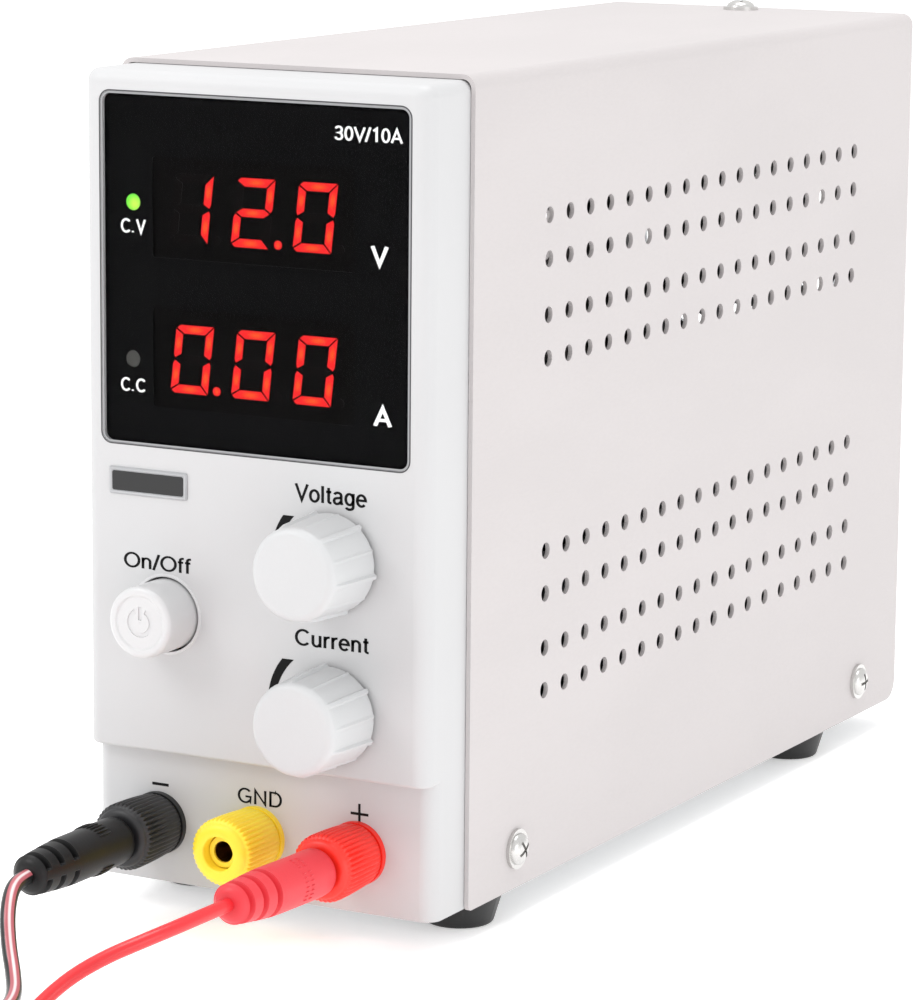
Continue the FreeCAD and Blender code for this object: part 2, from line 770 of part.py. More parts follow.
pin_root = 6.0                 # how far the pin reaches into its hood


def plug(x, z, front, flip):
    """A plug's pin and hood; flip turns the plug to face the other way about its mouth."""
    outline = hood_outline(front)
    hood = turned_y(outline + [(0, front - pin_root), (pin_radius, front - pin_root)], x, z)
    tip = front + pin_length
    pin = turned_y([(0, front - pin_root), (pin_radius, front - pin_root), (pin_radius, tip - 1.2),
                    (pin_radius * 0.86, tip - 0.35, pin_radius * 0.5, tip), (0, tip)], x, z)
    if flip:
        for shape in (pin, hood):
            shape.rotate(V(x, front, z), V(0, 0, 1), 180)
    return pin, hood


def coil_reach(lead):
    """Radii of the innermost and outermost turns of a lead's coil."""
    pitch = 2 * lead_radius[lead]
    spread = pitch * (coil_columns - 1) / 2
    return coil_mean_radius[lead] - spread, coil_mean_radius[lead] + spread


def lead_start(lead):
    """Where the cord leaves its plug's hood."""
    return (stud_x[lead], hood_back, post_z)


def coil_gate(lead):
    """The cord's touching point on the coil's outer turn, at the side nearest the other lead."""
    x, y = coil_middle[lead]
    inward = 1 if x < 0 else -1
    return x + inward * coil_reach(lead)[1], y


# Points of each cord between its hood and its coil. Both leave their plugs level, sink to the
# surface and run forwards to their coils; the first and last points are worked out above.
lead_route = {
    "negative": [(-22.4, -46.6, 17.2), (-20.7, -50.7, 13.6), (-18.4, -53.6, 8.6), (-15.2, -56.8, 4.6),
                 (-11.4, -62.0, 2.2), (-8.5, -71.0, 1.6), (-8.1, -82.0, 1.6), (-8.9, -92.0, 1.6)],
    "positive": [(20.3, -48.6, 18.0), (18.7, -55.2, 17.8), (15.7, -61.9, 16.7), (11.4, -67.7, 14.6),
                 (7.0, -73.0, 11.3), (4.0, -79.4, 6.6), (4.4, -87.0, 3.2), (6.4, -94.6, 1.6)],
}
tail_route = {
    "negative": [(-9.6, -106.6, 4.5), (-10.2, -112.0, 4.6)],
    "positive": [(7.6, -106.6, 4.1), (8.1, -112.0, 4.5)],
}


def route_path(points):
    """Straight runs joined by tangent arcs through the route's corners; also the arcs' radii."""
    points = [V(*p) for p in points]
    edges, radii = [], []
    here = points[0]
    for before, corner, after in zip(points, points[1:], points[2:]):
        run_in, run_out = corner - before, after - corner
        turn = run_in.getAngle(run_out)
        cut = 0.45 * min(run_in.Length, run_out.Length)
        radii.append(cut / math.tan(turn / 2))
        run_in.normalize()
        run_out.normalize()
        start, end = corner - run_in * cut, corner + run_out * cut
        bisector = (run_out - run_in).normalize()
        rise = radii[-1] * (1 / math.cos(turn / 2) - 1)
        middle = corner + bisector * rise
        edges.append(Part.LineSegment(here, start).toShape())
        edges.append(Part.Arc(start, middle, end).toShape())
        here = end
    edges.append(Part.LineSegment(here, points[-1]).toShape())
    return Part.Wire(edges), radii


def cord(points, radius, name):
    """A round cord swept along a route, checked against its section times its length."""
    path, radii = route_path(points)
    start = V(*points[0])
    heading = V(*points[1]) - start
    section = Part.Wire([Part.Circle(start, heading, radius).toShape()])
    shell = path.makePipeShell([section], True, False)
    solid = shell if shell.ShapeType == "Solid" else Part.Solid(shell)
    expected = math.pi * radius ** 2 * path.Length
    print(f"{name}: length {path.Length:.1f}, volume is {solid.Volume / expected:.4f} of section x length,"
          f" radii {', '.join(f'{r:.1f}' for r in radii)}")
    return solid, path.Length


def coil_level(lead, layer):
    """Height of a layer's centreline above the surface."""
    return lead_radius[lead] * (1 + 2 * layer)


def whole_route(lead):
    gate = coil_gate(lead)
    return [lead_start(lead)] + lead_route[lead] + [(gate[0], gate[1], coil_level(lead, 0))]


def tail_points(lead):
    """From the coil's top outer turn to the hood on the lead's far end."""
    gate = coil_gate(lead)
    x, y = far_hood_start[lead]
    return [(gate[0], gate[1], coil_level(lead, coil_layers - 1))] + tail_route[lead] + [(x, y, hood_radius)]


def make_coil(lead):
    """The outer shape of the coil: a ring with rounded edges."""
    radius = lead_radius[lead]
    inside, outside = coil_reach(lead)
    x, y = coil_middle[lead]
    height = 2 * radius * coil_layers
    ring = Part.makeCylinder(outside + radius, height, V(x, y, 0))
    ring = ring.cut(Part.makeCylinder(inside - radius, height + 2, V(x, y, -1)))
    return ring.makeFillet(radius * 0.9, [e for e in ring.Edges if len(e.Vertexes) == 1 and e.Length > 20])


def save_lead(lead):
    pins, hoods = [], []
    near_pin, near_hood = plug(stud_x[lead], post_z, hood_front, False)
    far_x, far_y = far_hood_start[lead]
    far_pin, far_hood = plug(far_x, hood_radius, far_y - hood_length, True)
    save(lead + "_plug_pins", group([near_pin, far_pin]))
    save(lead + "_plug_hoods", group([near_hood, far_hood]))
    main, length = cord(whole_route(lead), lead_radius[lead], lead + " lead")
    tail, tail_length = cord(tail_points(lead), lead_radius[lead], lead + " tail")
    save(lead + "_lead", group([main, tail]))
    save(lead + "_lead_coil", make_coil(lead))
    turns = 2 * math.pi * coil_mean_radius[lead] * coil_columns * coil_layers
    print(f"{lead} lead: {length:.1f} + coil {turns:.1f} + tail {tail_length:.1f}"
          f" = {length + turns + tail_length:.1f} mm")


# ---------------------------------------------------------------- inside
main_board_z = tray_top + standoff_height
main_board_end = main_board_start + main_board_length
board_top = main_board_z + board_thick


def standoff_places():
    x = main_board_width / 2 - standoff_inset
    return [(side * x, y) for side in (-1, 1)
            for y in (main_board_start + standoff_inset + 12, main_board_end - standoff_inset)]


def make_main_board():
    side = main_board_width / 2
    board = box((-side, side), (main_board_start, main_board_end), (main_board_z, board_top))
    return board.cut(group([rod_z(screw_radius, x, y, main_board_z - 1, board_top + 1)
                            for x, y in standoff_places()]))


def make_standoffs():
    solids = []
    for x, y in standoff_places():
        post = rod_z(standoff_radius, x, y, tray_top, main_board_z)
        solids.append(post.cut(rod_z(screw_radius, x, y, tray_top - 1, main_board_z + 1)))
    return group(solids)


heatsink_x = main_board_width / 2 - heatsink_fin - heatsink_thick - 0.5


def make_heatsinks():
    """Two upright finned plates, one on each side of the board."""
    sinks = []
    y = (heatsink_start, heatsink_start + heatsink_length)
    z = (board_top, board_top + heatsink_height)
    for side in (-1, 1):
        plate = box(sorted((side * heatsink_x, side * (heatsink_x + heatsink_thick))), y, z)
        fins = []
        for k in range(9):
            at = heatsink_start + 1 + k * (heatsink_length - 3.6) / 8
            fins.append(box(sorted((side * (heatsink_x + heatsink_thick - 0.5),
                                    side * (heatsink_x + heatsink_thick + heatsink_fin))),
                            (at, at + 1.6), (z[0] + 3, z[1])))
        sinks.append(plate.fuse(fins).removeSplitter())
    return group(sinks)


def make_transistors():
    """Flat power packages clamped to the heatsinks, with three legs each."""
    packages = []
    for side in (-1, 1):
        for k in range(3):
            y = heatsink_start + 14 + k * 26
            x = sorted((side * heatsink_x, side * (heatsink_x - 4.6)))
            body = box(x, (y - 5, y + 5), (board_top + 9, board_top + 25))
            legs = [box((side * (heatsink_x - 2.3) - 0.3, side * (heatsink_x - 2.3) + 0.3),
                        (y + dy - 0.4, y + dy + 0.4), (board_top, board_top + 10)) for dy in (-2.5, 0, 2.5)]
            packages.append(body.fuse(legs).removeSplitter())
    return group(packages)


winding_wall = 5.0             # thickness of the core's outer legs
core_leg_y = (transformer_at - transformer_length / 2 + 8, transformer_at + transformer_length / 2 - 8)


def transformer_box(shrink, y_shrink):
    half_x = transformer_width / 2 - shrink
    half_y = transformer_length / 2 - y_shrink
    return box((-half_x, half_x), (transformer_at - half_y, transformer_at + half_y),
               (board_top + 3 + shrink, board_top + 3 + transformer_height - shrink))


def make_transformer_core():
    """A closed ferrite frame with its middle leg; the winding fills the two windows."""
    frame = transformer_box(0, 8.0)
    window = transformer_box(winding_wall, 0)
    z = board_top + 3 + transformer_height / 2
    leg = box((-5, 5), core_leg_y, (z - transformer_height / 2 + 1, z + transformer_height / 2 - 1))
    return frame.cut(window).fuse(leg).removeSplitter()


def make_transformer_winding():
    """The wound bobbin round the middle leg, on a base with pins that stands on the board."""
    winding = transformer_box(winding_wall, 1.0)
    leg = box((-5, 5), core_leg_y, (board_top, board_top + transformer_height + 5))
    winding = winding.cut(leg)
    feet = []
    for y in (transformer_at - transformer_length / 2 + 1, transformer_at + transformer_length / 2 - 5):
        feet.append(box((-transformer_width / 2 + winding_wall, transformer_width / 2 - winding_wall),
                        (y, y + 4), (board_top, board_top + 3 + winding_wall + 1)))
    return winding.fuse(feet).removeSplitter()


def make_choke():
    """A wound ring standing on its edge."""
    ring = Part.makeTorus(choke_radius - choke_wire, choke_wire, V(0, 0, 0), V(1, 0, 0))
    ring.translate(V(-9, choke_at, board_top + choke_radius))
    foot = box((-9 - 4, -9 + 4), (choke_at - 5, choke_at + 5), (board_top, board_top + 2.0))
    return ring.fuse(foot).removeSplitter()


def can_capacitor(x, y, radius, height):
    can = rod_z(radius, x, y, board_top, board_top + height)
    rim = [e for e in can.Edges if len(e.Vertexes) == 1 and e.CenterOfMass.z > board_top + height - 0.1]
    return can.makeFillet(0.8, rim)


def make_capacitors():
    bulk = [can_capacitor(side * (bulk_radius + 0.8), bulk_at, bulk_radius, bulk_height) for side in (-1, 1)]
    small = [can_capacitor(-14.0 + k * 14.0, output_cap_at, output_cap_radius, output_cap_height)
             for k in range(3)]
    return group(bulk + small)


def make_output_wires():
    """A stout wire from each post's stud, through the tray's front lip, down to the board."""
    wires = []
    for x in post_x:
        route = [(x, stud_back, post_z), (x, stud_back + 10, post_z), (x, stud_back + 20, board_top + 1.3)]
        wires.append(cord(route, 1.3, "output wire")[0])
    return group(wires)


# ---------------------------------------------------------------- back
fan_z = base + fan_height_at
fan_front = back_face - tray_sheet - fan_depth


def make_fan_frame():
    reach = fan_size / 2
    frame = rounded_plate((-reach, reach), (fan_z - reach, fan_z + reach),
                          (fan_front, back_face - tray_sheet), 3.0)
    frame = frame.cut(rod_y(fan_bore, 0, fan_z, fan_front - 1, back_face))
    hub = tube_y(fan_hub, 9.0, 0, fan_z, fan_front, fan_front + 2.5)
    hub = hub.fuse(rod_y(9.0, 0, fan_z, fan_front, fan_front + 1.5))
    spokes = []
    for k in range(3):
        spoke = box((8, fan_bore + 0.6), (fan_front, fan_front + 2.5), (-1.6, 1.6))
        spoke.rotate(V(0, 0, 0), V(0, 1, 0), 120 * k + 30)
        spoke.translate(V(0, 0, fan_z))
        spokes.append(spoke)
    post = rod_y(1.5, 0, fan_z, fan_front + 1, fan_front + 11)
    frame = frame.fuse(spokes + [hub, post])
    return frame.cut(group([rod_y(screw_radius, x, z, fan_front - 1, back_face)
                            for x, z in fan_screw_places()])).removeSplitter()


def make_fan_rotor():
    """A cup hub with pitched blades; its bore runs on the frame's post."""
    y0, y1 = fan_front + 2.9, back_face - tray_sheet - 0.8
    hub = tube_y(fan_hub - 0.5, 1.5 + 0.05, 0, fan_z, y0, y1)
    blades = []
    for k in range(fan_blades):
        blade = Part.makeBox(fan_bore - fan_hub - 0.4, 1.2, 13.5, V(fan_hub - 1.2, -0.6, -6.75))
        blade.rotate(V(0, 0, 0), V(1, 0, 0), 52)
        blade.translate(V(0, (y0 + y1) / 2, 0))
        blade.rotate(V(0, 0, 0), V(0, 1, 0), 360.0 * k / fan_blades)
        blade.translate(V(0, 0, fan_z))
        blades.append(blade)
    rotor = hub.fuse(blades)
    keep = rod_y(fan_bore - 0.8, 0, fan_z, y0, y1)
    return rotor.common(keep).removeSplitter()


inlet_z = base + inlet_height_at
inlet_back = back_face + inlet_flange
cavity_z = (inlet_z + inlet_body_height / 2 - 2.5 - cavity_height, inlet_z + inlet_body_height / 2 - 2.5)
drawer_z = (inlet_z - inlet_body_height / 2 + 1.6, inlet_z - inlet_body_height / 2 + 1.6 + drawer_height)


def make_inlet_shell():
    flange = rounded_plate((-inlet_width / 2, inlet_width / 2),
                           (inlet_z - inlet_height / 2, inlet_z + inlet_height / 2),
                           (back_face, inlet_back), 5.0)
    body = box((-inlet_body_width / 2, inlet_body_width / 2), (back_face - inlet_body_depth, inlet_back - 1),
               (inlet_z - inlet_body_height / 2, inlet_z + inlet_body_height / 2))
    shell = flange.fuse(body)
    mouth = box((-cavity_width / 2, cavity_width / 2), (inlet_back - cavity_depth, inlet_back + 1), cavity_z)
    cut = 4.5
    corners = [e for e in mouth.Edges if abs(e.tangentAt(e.FirstParameter).y) > 0.99
               and e.CenterOfMass.z > cavity_z[1] - 0.1]
    mouth = mouth.makeChamfer(cut, corners)
    slot_half = drawer_width / 2 + drawer_clearance
    slot = box((-slot_half, slot_half), (inlet_back - drawer_depth - 1.0, inlet_back + 1),
               (drawer_z[0] - drawer_clearance, drawer_z[1] + drawer_clearance))
    shell = shell.cut(mouth).cut(slot)
    shell = shell.cut(group([rod_y(screw_radius, x, z, back_face - 1, inlet_back + 1)
                             for x, z in inlet_screw_places]))
    shell = shell.cut(group([rod_y(3.1, x, z, inlet_back - 1.7, inlet_back + 1)
                             for x, z in inlet_screw_places]))
    return shell.removeSplitter()


def make_inlet_pins():
    """Live, neutral and earth blades, with their tabs behind the shell."""
    middle = (cavity_z[0] + cavity_z[1]) / 2
    pins = []
    for x, z in ((-7.0, middle - 2.0), (7.0, middle - 2.0), (0, middle + 2.0)):
        front = inlet_back - cavity_depth
        blade = box((x - 1.0, x + 1.0), (front, front + pin_stick), (z - 2.0, z + 2.0))
        tab = box((x - 0.4, x + 0.4), (back_face - inlet_body_depth - 8, back_face - inlet_body_depth),
                  (z - 2.4, z + 2.4))
        pins += [blade, tab]
    return group(pins)


def make_fuse_drawer():
    """A tray that slides out of the slot, with a trough for the fuse and a finger lip."""
    y0 = inlet_back - drawer_depth
    body = box((-drawer_width / 2, drawer_width / 2), (y0, inlet_back - 0.2), drawer_z)
    trough = box((-fuse_length / 2 - 0.2, fuse_length / 2 + 0.2), (y0 + 4, y0 + 4 + 2 * fuse_radius + 0.4),
                 (drawer_z[0] + 1.2, drawer_z[1] + 1))
    lip = box((-4, 4), (inlet_back - 0.5, inlet_back + 0), (drawer_z[1] - 2.4, drawer_z[1] - 0.8))
    notch = box((-3, 3), (inlet_back - 1.4, inlet_back + 1), (drawer_z[0] + 1.2, drawer_z[0] + 3.6))
    return body.fuse(lip).cut(trough).cut(notch).removeSplitter()


def make_fuse():
    y = inlet_back - drawer_depth + 4 + fuse_radius + 0.2
    z = drawer_z[0] + 1.2 + fuse_radius
    glass = rod(fuse_radius - 0.2, (-fuse_length / 2 + 4, y, z), (fuse_length / 2 - 4, y, z))
    ends = [rod(fuse_radius, (side * fuse_length / 2, y, z), (side * (fuse_length / 2 - 5), y, z))
            for side in (-1, 1)]
    return glass.fuse(ends).removeSplitter()


selector_z = base + selector_height_at
slider_half = 3.0


def make_selector_body():
    reach = selector_width / 2 - 2
    body = box((-reach, reach), (back_face - 11, back_face - 0.0),
               (selector_z - selector_height / 2 + 1, selector_z + selector_height / 2 - 1))
    ears = box((-17.5, 17.5), (back_face - tray_sheet - 0.8, back_face - tray_sheet),
               (selector_z - selector_height / 2, selector_z + selector_height / 2))
    slot_x = slider_half + slider_travel / 2 + 0.3
    slot = box((-slot_x, slot_x), (back_face - 5.4, back_face + 1), (selector_z - 3.0, selector_z + 3.0))
    body = body.fuse(ears).cut(slot)
    body = body.cut(group([rod_y(screw_radius, x, z, back_face - 3, back_face + 1)
                           for x, z in selector_screw_places]))
    return body.removeSplitter()


def make_selector_slider():
    """The ridged slider, at the left end of its slot."""
    x = -slider_travel / 2
    y0, y1 = back_face - 5.1, back_face - 0.6
    block = box((x - slider_half, x + slider_half), (y0, y1), (selector_z - 2.7, selector_z + 2.7))
    notch = box((x - 0.6, x + 0.6), (y1 - 1.2, y1 + 1), (selector_z - 3, selector_z + 3))
    return block.cut(notch).removeSplitter()


# ---------------------------------------------------------------- feet and screws
def make_feet():
    feet = []
    for x, y in foot_places:
        foot = Part.makeCone(foot_bottom_radius, foot_top_radius, foot_height, V(x, y, 0))
        rim = [e for e in foot.Edges if len(e.Vertexes) == 1 and e.CenterOfMass.z < 0.1]
        foot = foot.makeFillet(0.8, rim)
        foot = foot.cut(rod_z(3.4, x, y, -1, 3.4))
        feet.append(foot.cut(rod_z(screw_radius, x, y, -1, foot_height + 1)))
    return group(feet)


def make_foot_screws():
    return group([aimed(pan_screw(5.0), (x, y, 3.4), (0, 0, -1)) for x, y in foot_places])


def make_cover_screws():
    return group([aimed(washer_screw(5.0), place, direction) for place, direction in cover_screw_places()])


def make_panel_screws():
    places = [((x, back_face, z), 5.0) for x, z in fan_screw_places() + selector_screw_places]
    places += [((x, inlet_back - 1.7, z), 6.0) for x, z in inlet_screw_places]
    return group([aimed(pan_screw(length), place, (0, 1, 0)) for place, length in places])


def make_inner_screws():
    places = [((x, board_front + board_thick, z), (0, 1, 0)) for x, z in board_boss_places]
    places += [((x, control_board_front + board_thick, z), (0, 1, 0)) for x, z in control_boss_places]
    places += [((x, tray_start + tray_sheet, z), (0, 1, 0)) for x, z in bezel_screw_places]
    places += [((x, y, board_top), (0, 0, 1)) for x, y in standoff_places()]
    return group([aimed(pan_screw(6.0), place, direction) for place, direction in places])


# ---------------------------------------------------------------- every node
os.makedirs("parts", exist_ok=True)
save("top_cover", make_top_cover())
save("chassis_tray", make_chassis_tray())
save("front_bezel", make_front_bezel())
save("display_window", make_display_window())
save("badge_plate", make_badge_plate())
save("display_board", make_display_board())
save("readout_modules", make_readouts())
save("cv_lamp", make_lamp(readout_z[0]))
save("cc_lamp", make_lamp(readout_z[1]))
save("control_board", make_control_board())
save("pot_bodies", make_pot_bodies())
save("pot_nuts", make_pot_nuts())
for name, z, first_rib in zip(("voltage", "current"), knob_z, knob_first_rib):
    save(name + "_pot_shaft", make_pot_shaft(z))
    save(name + "_knob", make_knob(z, first_rib))
save("power_switch", make_power_switch())
save("power_button", make_power_button())
for name, x in stud_x.items():
    save(name + "_collar", make_collar(x))
    save(name + "_cap", make_cap(x))
    save(name + "_cap_insert", make_insert(x))
save("post_studs", make_post_studs())
save("post_nuts", make_post_nuts())
save("output_wires", make_output_wires())
save("main_board", make_main_board())
save("board_standoffs", make_standoffs())
save("heatsinks", make_heatsinks())
save("power_transistors", make_transistors())
save("transformer_core", make_transformer_core())
save("transformer_winding", make_transformer_winding())
save("output_choke", make_choke())
save("capacitors", make_capacitors())
save("fan_frame", make_fan_frame())
save("fan_rotor", make_fan_rotor())
save("inlet_shell", make_inlet_shell())
save("inlet_pins", make_inlet_pins())
save("fuse_drawer", make_fuse_drawer())
save("fuse", make_fuse())
save("selector_body", make_selector_body())
save("selector_slider", make_selector_slider())
save("feet", make_feet())
save("foot_screws", make_foot_screws())
save("cover_screws", make_cover_screws())
save("panel_screws", make_panel_screws())
save("inner_screws", make_inner_screws())
for name in ("negative", "positive"):
    save_lead(name)
print(len(saved), "nodes; the front face is at y =", round(-middle_y, 3))
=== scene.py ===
# %% [markdown]
# # A bench power supply, from a bare frame to a finished look
#
# The maker's drawing of this instrument already exists as a frame of exact parts: a bent
# steel cover, a grey moulded front, knobs, terminals and everything inside them. This lesson
# keeps that frame as it is and gives it its looks. Each step says what the real piece is, how
# it could be made, and why it is made in the way that follows.
#
# The first cell loads the frame and keeps its overall box, because nothing that is added may
# make the instrument larger.

import math

import bpy
from mathutils import Matrix, Vector


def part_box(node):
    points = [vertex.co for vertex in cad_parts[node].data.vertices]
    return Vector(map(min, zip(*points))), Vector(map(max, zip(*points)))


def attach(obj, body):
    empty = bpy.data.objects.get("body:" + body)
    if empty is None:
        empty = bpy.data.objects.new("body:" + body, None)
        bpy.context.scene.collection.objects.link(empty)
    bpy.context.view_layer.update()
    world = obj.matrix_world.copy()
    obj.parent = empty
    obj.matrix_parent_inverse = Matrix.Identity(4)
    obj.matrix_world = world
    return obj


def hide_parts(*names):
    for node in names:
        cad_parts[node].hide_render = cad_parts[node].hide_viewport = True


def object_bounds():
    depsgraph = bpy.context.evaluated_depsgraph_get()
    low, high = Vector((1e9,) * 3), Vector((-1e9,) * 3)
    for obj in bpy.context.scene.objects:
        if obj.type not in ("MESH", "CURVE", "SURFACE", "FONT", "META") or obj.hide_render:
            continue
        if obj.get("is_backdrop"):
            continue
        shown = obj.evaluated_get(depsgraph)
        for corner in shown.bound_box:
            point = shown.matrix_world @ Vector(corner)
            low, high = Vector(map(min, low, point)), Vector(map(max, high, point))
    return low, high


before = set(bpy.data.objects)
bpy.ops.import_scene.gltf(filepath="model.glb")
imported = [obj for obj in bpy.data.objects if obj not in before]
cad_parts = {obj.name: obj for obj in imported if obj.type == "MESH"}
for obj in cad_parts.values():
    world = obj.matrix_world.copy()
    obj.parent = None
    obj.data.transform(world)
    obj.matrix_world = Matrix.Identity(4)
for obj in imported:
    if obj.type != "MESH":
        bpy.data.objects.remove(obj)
cad_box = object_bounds()
print(f"{len(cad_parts)} parts, box {[round(v * 1000, 1) for v in cad_box[1] - cad_box[0]]} mm")

# %% [markdown]
# ## One ruler for the front panel
#
# A panel is laid out from the foot of its middle line: so far across, so far up, and so far
# in front of or behind its face. Working in millimetres from that corner keeps the numbers
# readable, and one helper turns them into metres in the frame. The face and the case's
# underside are measured from the parts themselves, so the ruler can't drift from them.

# %% The panel ruler
MM = 0.001
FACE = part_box("front_bezel")[0].y
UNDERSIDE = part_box("top_cover")[0].z


def at(across, back, up):
    """Millimetres across, behind the front face and above the case's underside, as a place."""
    return Vector((across * MM, FACE + back * MM, UNDERSIDE + up * MM))


print(f"front face at y = {FACE * 1000:.1f} mm, underside at z = {UNDERSIDE * 1000:.1f} mm")

# %% [markdown]
# ## Writing node trees as arithmetic
#
# A finish is mostly sums: a little noise added to a roughness, a mask multiplied by a tone.
# Clicking those sums together from nodes hides them, so a small class wraps a socket and
# lets Python's own operators add the Math nodes. Every other node comes from one method
# that takes its type, its settings and what goes into its sockets. The same class serves
# shaders and geometry trees.


# %% The workbench for node trees
class Wire:
    """An output socket that can be used in arithmetic."""

    def __init__(self, bench, socket):
        self.bench, self.socket = bench, socket

    def out(self, name):
        """Another output of the same node."""
        return Wire(self.bench, self.socket.node.outputs[name])

    def sum(self, operation, *terms):
        return self.bench.add("ShaderNodeMath", {"operation": operation}, dict(enumerate(terms)))

    def __add__(self, other):
        return self.sum("ADD", self, other)

    def __sub__(self, other):
        return self.sum("SUBTRACT", self, other)

    def __rsub__(self, other):
        return self.sum("SUBTRACT", other, self)

    def __mul__(self, other):
        return self.sum("MULTIPLY", self, other)

    def __pow__(self, other):
        return self.sum("POWER", self, other)

    __radd__ = __add__
    __rmul__ = __mul__


class Bench:
    """A node tree being built."""

    def __init__(self, tree):
        self.tree = tree

    def add(self, kind, settings=None, sockets=None, out=0):
        node = self.tree.nodes.new(kind)
        for name, value in (settings or {}).items():
            setattr(node, name, value)
        for name, value in (sockets or {}).items():
            if isinstance(value, Wire):
                self.tree.links.new(value.socket, node.inputs[name])
            else:
                node.inputs[name].default_value = value
        return Wire(self, node.outputs[out]) if len(node.outputs) else node

    def blend(self, first, second, share):
        """The first colour where share is 0 and the second where it is 1."""
        return self.add("ShaderNodeMix", {"data_type": "RGBA"}, {0: share, 6: first, 7: second}, 2)

    def smooth(self, value, low, high):
        """0 below low, 1 above high, and an easy slope between them."""
        return self.add("ShaderNodeMapRange", {"interpolation_type": "SMOOTHSTEP"},
                        {"Value": value, "From Min": low, "From Max": high})


print("Wire and Bench are ready")

# %% [markdown]
# ## The camera and a soft, plain studio
#
# The instrument is seen from its right and a little above, through a long lens, so its
# upright edges stay nearly parallel. Turning a camera by hand would leave a rounding error in
# every later comparison. Its three axes are worked out instead from the direction it looks
# in, and a hair of roll. The floor and the surroundings are white. A large light above, one on
# the right and a small one near the front left give the pale case its gentle shading.

# %% The camera
azimuth, elevation, roll = (math.radians(v) for v in (28.517, 10.461, 0.477))
backwards = Vector((math.sin(azimuth) * math.cos(elevation),
                    -math.cos(azimuth) * math.cos(elevation), math.sin(elevation)))
level = Vector((math.cos(azimuth), math.sin(azimuth), 0))
upright = backwards.cross(level)
axes = (level * math.cos(roll) + upright * math.sin(roll),
        upright * math.cos(roll) - level * math.sin(roll), backwards)
camera = bpy.data.objects.new("camera", bpy.data.cameras.new("camera"))
bpy.context.scene.collection.objects.link(camera)
camera_place = Matrix.Translation(at(390.11, -639.19, 215.36))
camera.matrix_world = camera_place @ Matrix(axes).transposed().to_4x4()
camera.data.lens = 148.31
camera.data.sensor_width = 36.0
camera.data.clip_start, camera.data.clip_end = 0.05, 20.0
bpy.context.scene.camera = camera
print(f"the camera stands {(camera.location - at(0, 0, 80)).length:.2f} m from the front face")

# %% The studio
scene = bpy.context.scene
scene.view_settings.view_transform = "Standard"
world = bpy.data.worlds.new("studio")
scene.world = world
world.use_nodes = True
sky = world.node_tree.nodes["Background"]
sky.inputs["Color"].default_value = (1.0, 1.0, 1.0, 1.0)
sky.inputs["Strength"].default_value = 1.0


def soft_light(name, place, target, size, power):
    """A square panel of light that faces its target."""
    lamp = bpy.data.lights.new(name, "AREA")
    lamp.shape = "SQUARE"
    lamp.size, lamp.energy = size, power
    holder = bpy.data.objects.new(name, lamp)
    holder.location = place
    holder.rotation_euler = (Vector(target) - Vector(place)).to_track_quat("-Z", "Y").to_euler()
    scene.collection.objects.link(holder)


soft_light("light_above", (0.0, 0.05, 1.4), (0, 0.05, 0), 0.7, 8.5)
soft_light("light_right", (1.3, -0.4, 0.1), (0, 0, 0.1), 0.8, 4.0)
soft_light("light_front", (-0.30, -0.47, 0.45), (0, -0.1, 0.08), 0.26, 1.0)
print("white surroundings and three soft lights")

# %% [markdown]
# ## A finish, in general
#
# No moulded, painted or plated surface is one flat colour. Under a soft light it shows a slow
# drift of tone, a fine grain that breaks up the highlight, and a roughness that isn't even.
# One helper builds that for every material: a broad cloud of noise for the tone and the
# roughness, and a fine one for the grain, which can be stretched to make brushed metal or
# streaky paint. All of it reads the piece's own coordinates, so it stays put when a piece moves.


# %% Colours and finishes
def ink(red, green, blue):
    """A colour given as three screen values of 0 to 255."""
    parts = [v / 255 for v in (red, green, blue)]
    return (*[v / 12.92 if v <= 0.04045 else ((v + 0.055) / 1.055) ** 2.4 for v in parts], 1.0)


def tone(colour, times):
    return (*[min(1.0, c * times) for c in colour[:3]], 1.0)


def finish(name, colour, roughness, grain=0.5, relief=0.01, drift=0.03, uneven=0.05,
           stretch=(1, 1, 1), metal=0.0, coat=0.0, glow=0.0, alpha=1.0, specular=0.5):
    """A material with a drifting tone, a fine grain and an uneven gloss. Sizes are in millimetres."""
    material = bpy.data.materials.new(name)
    material.use_nodes = True
    bench = Bench(material.node_tree)
    shader = material.node_tree.nodes["Principled BSDF"]
    sockets = {"Metallic": metal, "Coat Weight": coat, "Coat Roughness": 0.1, "Alpha": alpha,
               "Emission Strength": glow, "Emission Color": (1, 1, 1, 1), "Specular IOR Level": specular}
    for socket, value in sockets.items():
        shader.inputs[socket].default_value = value
    place = bench.add("ShaderNodeTexCoord", out="Object")
    drawn = bench.add("ShaderNodeVectorMath", {"operation": "MULTIPLY"}, {0: place, 1: stretch})
    cloud = bench.add("ShaderNodeTexNoise", None, {"Vector": drawn, "Scale": 45.0, "Detail": 3.0})
    fine = bench.add("ShaderNodeTexNoise", None, {"Vector": drawn, "Scale": 1000.0 / grain, "Detail": 2.0})
    share = bench.smooth(cloud * 0.7 + fine * 0.3, 0.35, 0.65)
    blend = bench.blend(tone(colour, 1 - drift), tone(colour, 1 + drift), share)
    bench.tree.links.new(blend.socket, shader.inputs["Base Color"])
    bench.tree.links.new((roughness + (cloud - 0.5) * (2 * uneven)).socket, shader.inputs["Roughness"])
    bump = bench.add("ShaderNodeBump", None, {"Strength": 1.0, "Distance": relief * MM, "Height": fine})
    bench.tree.links.new(bump.socket, shader.inputs["Normal"])
    return material


def bench_of(material):
    return Bench(material.node_tree), material.node_tree.nodes["Principled BSDF"]


def dress(material, *names):
    """Gives a finish to parts of the frame."""
    for name in names:
        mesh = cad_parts[name].data
        mesh.materials.clear()
        mesh.materials.append(material)


print(f"white {tuple(round(c, 2) for c in ink(230, 230, 230)[:3])}")

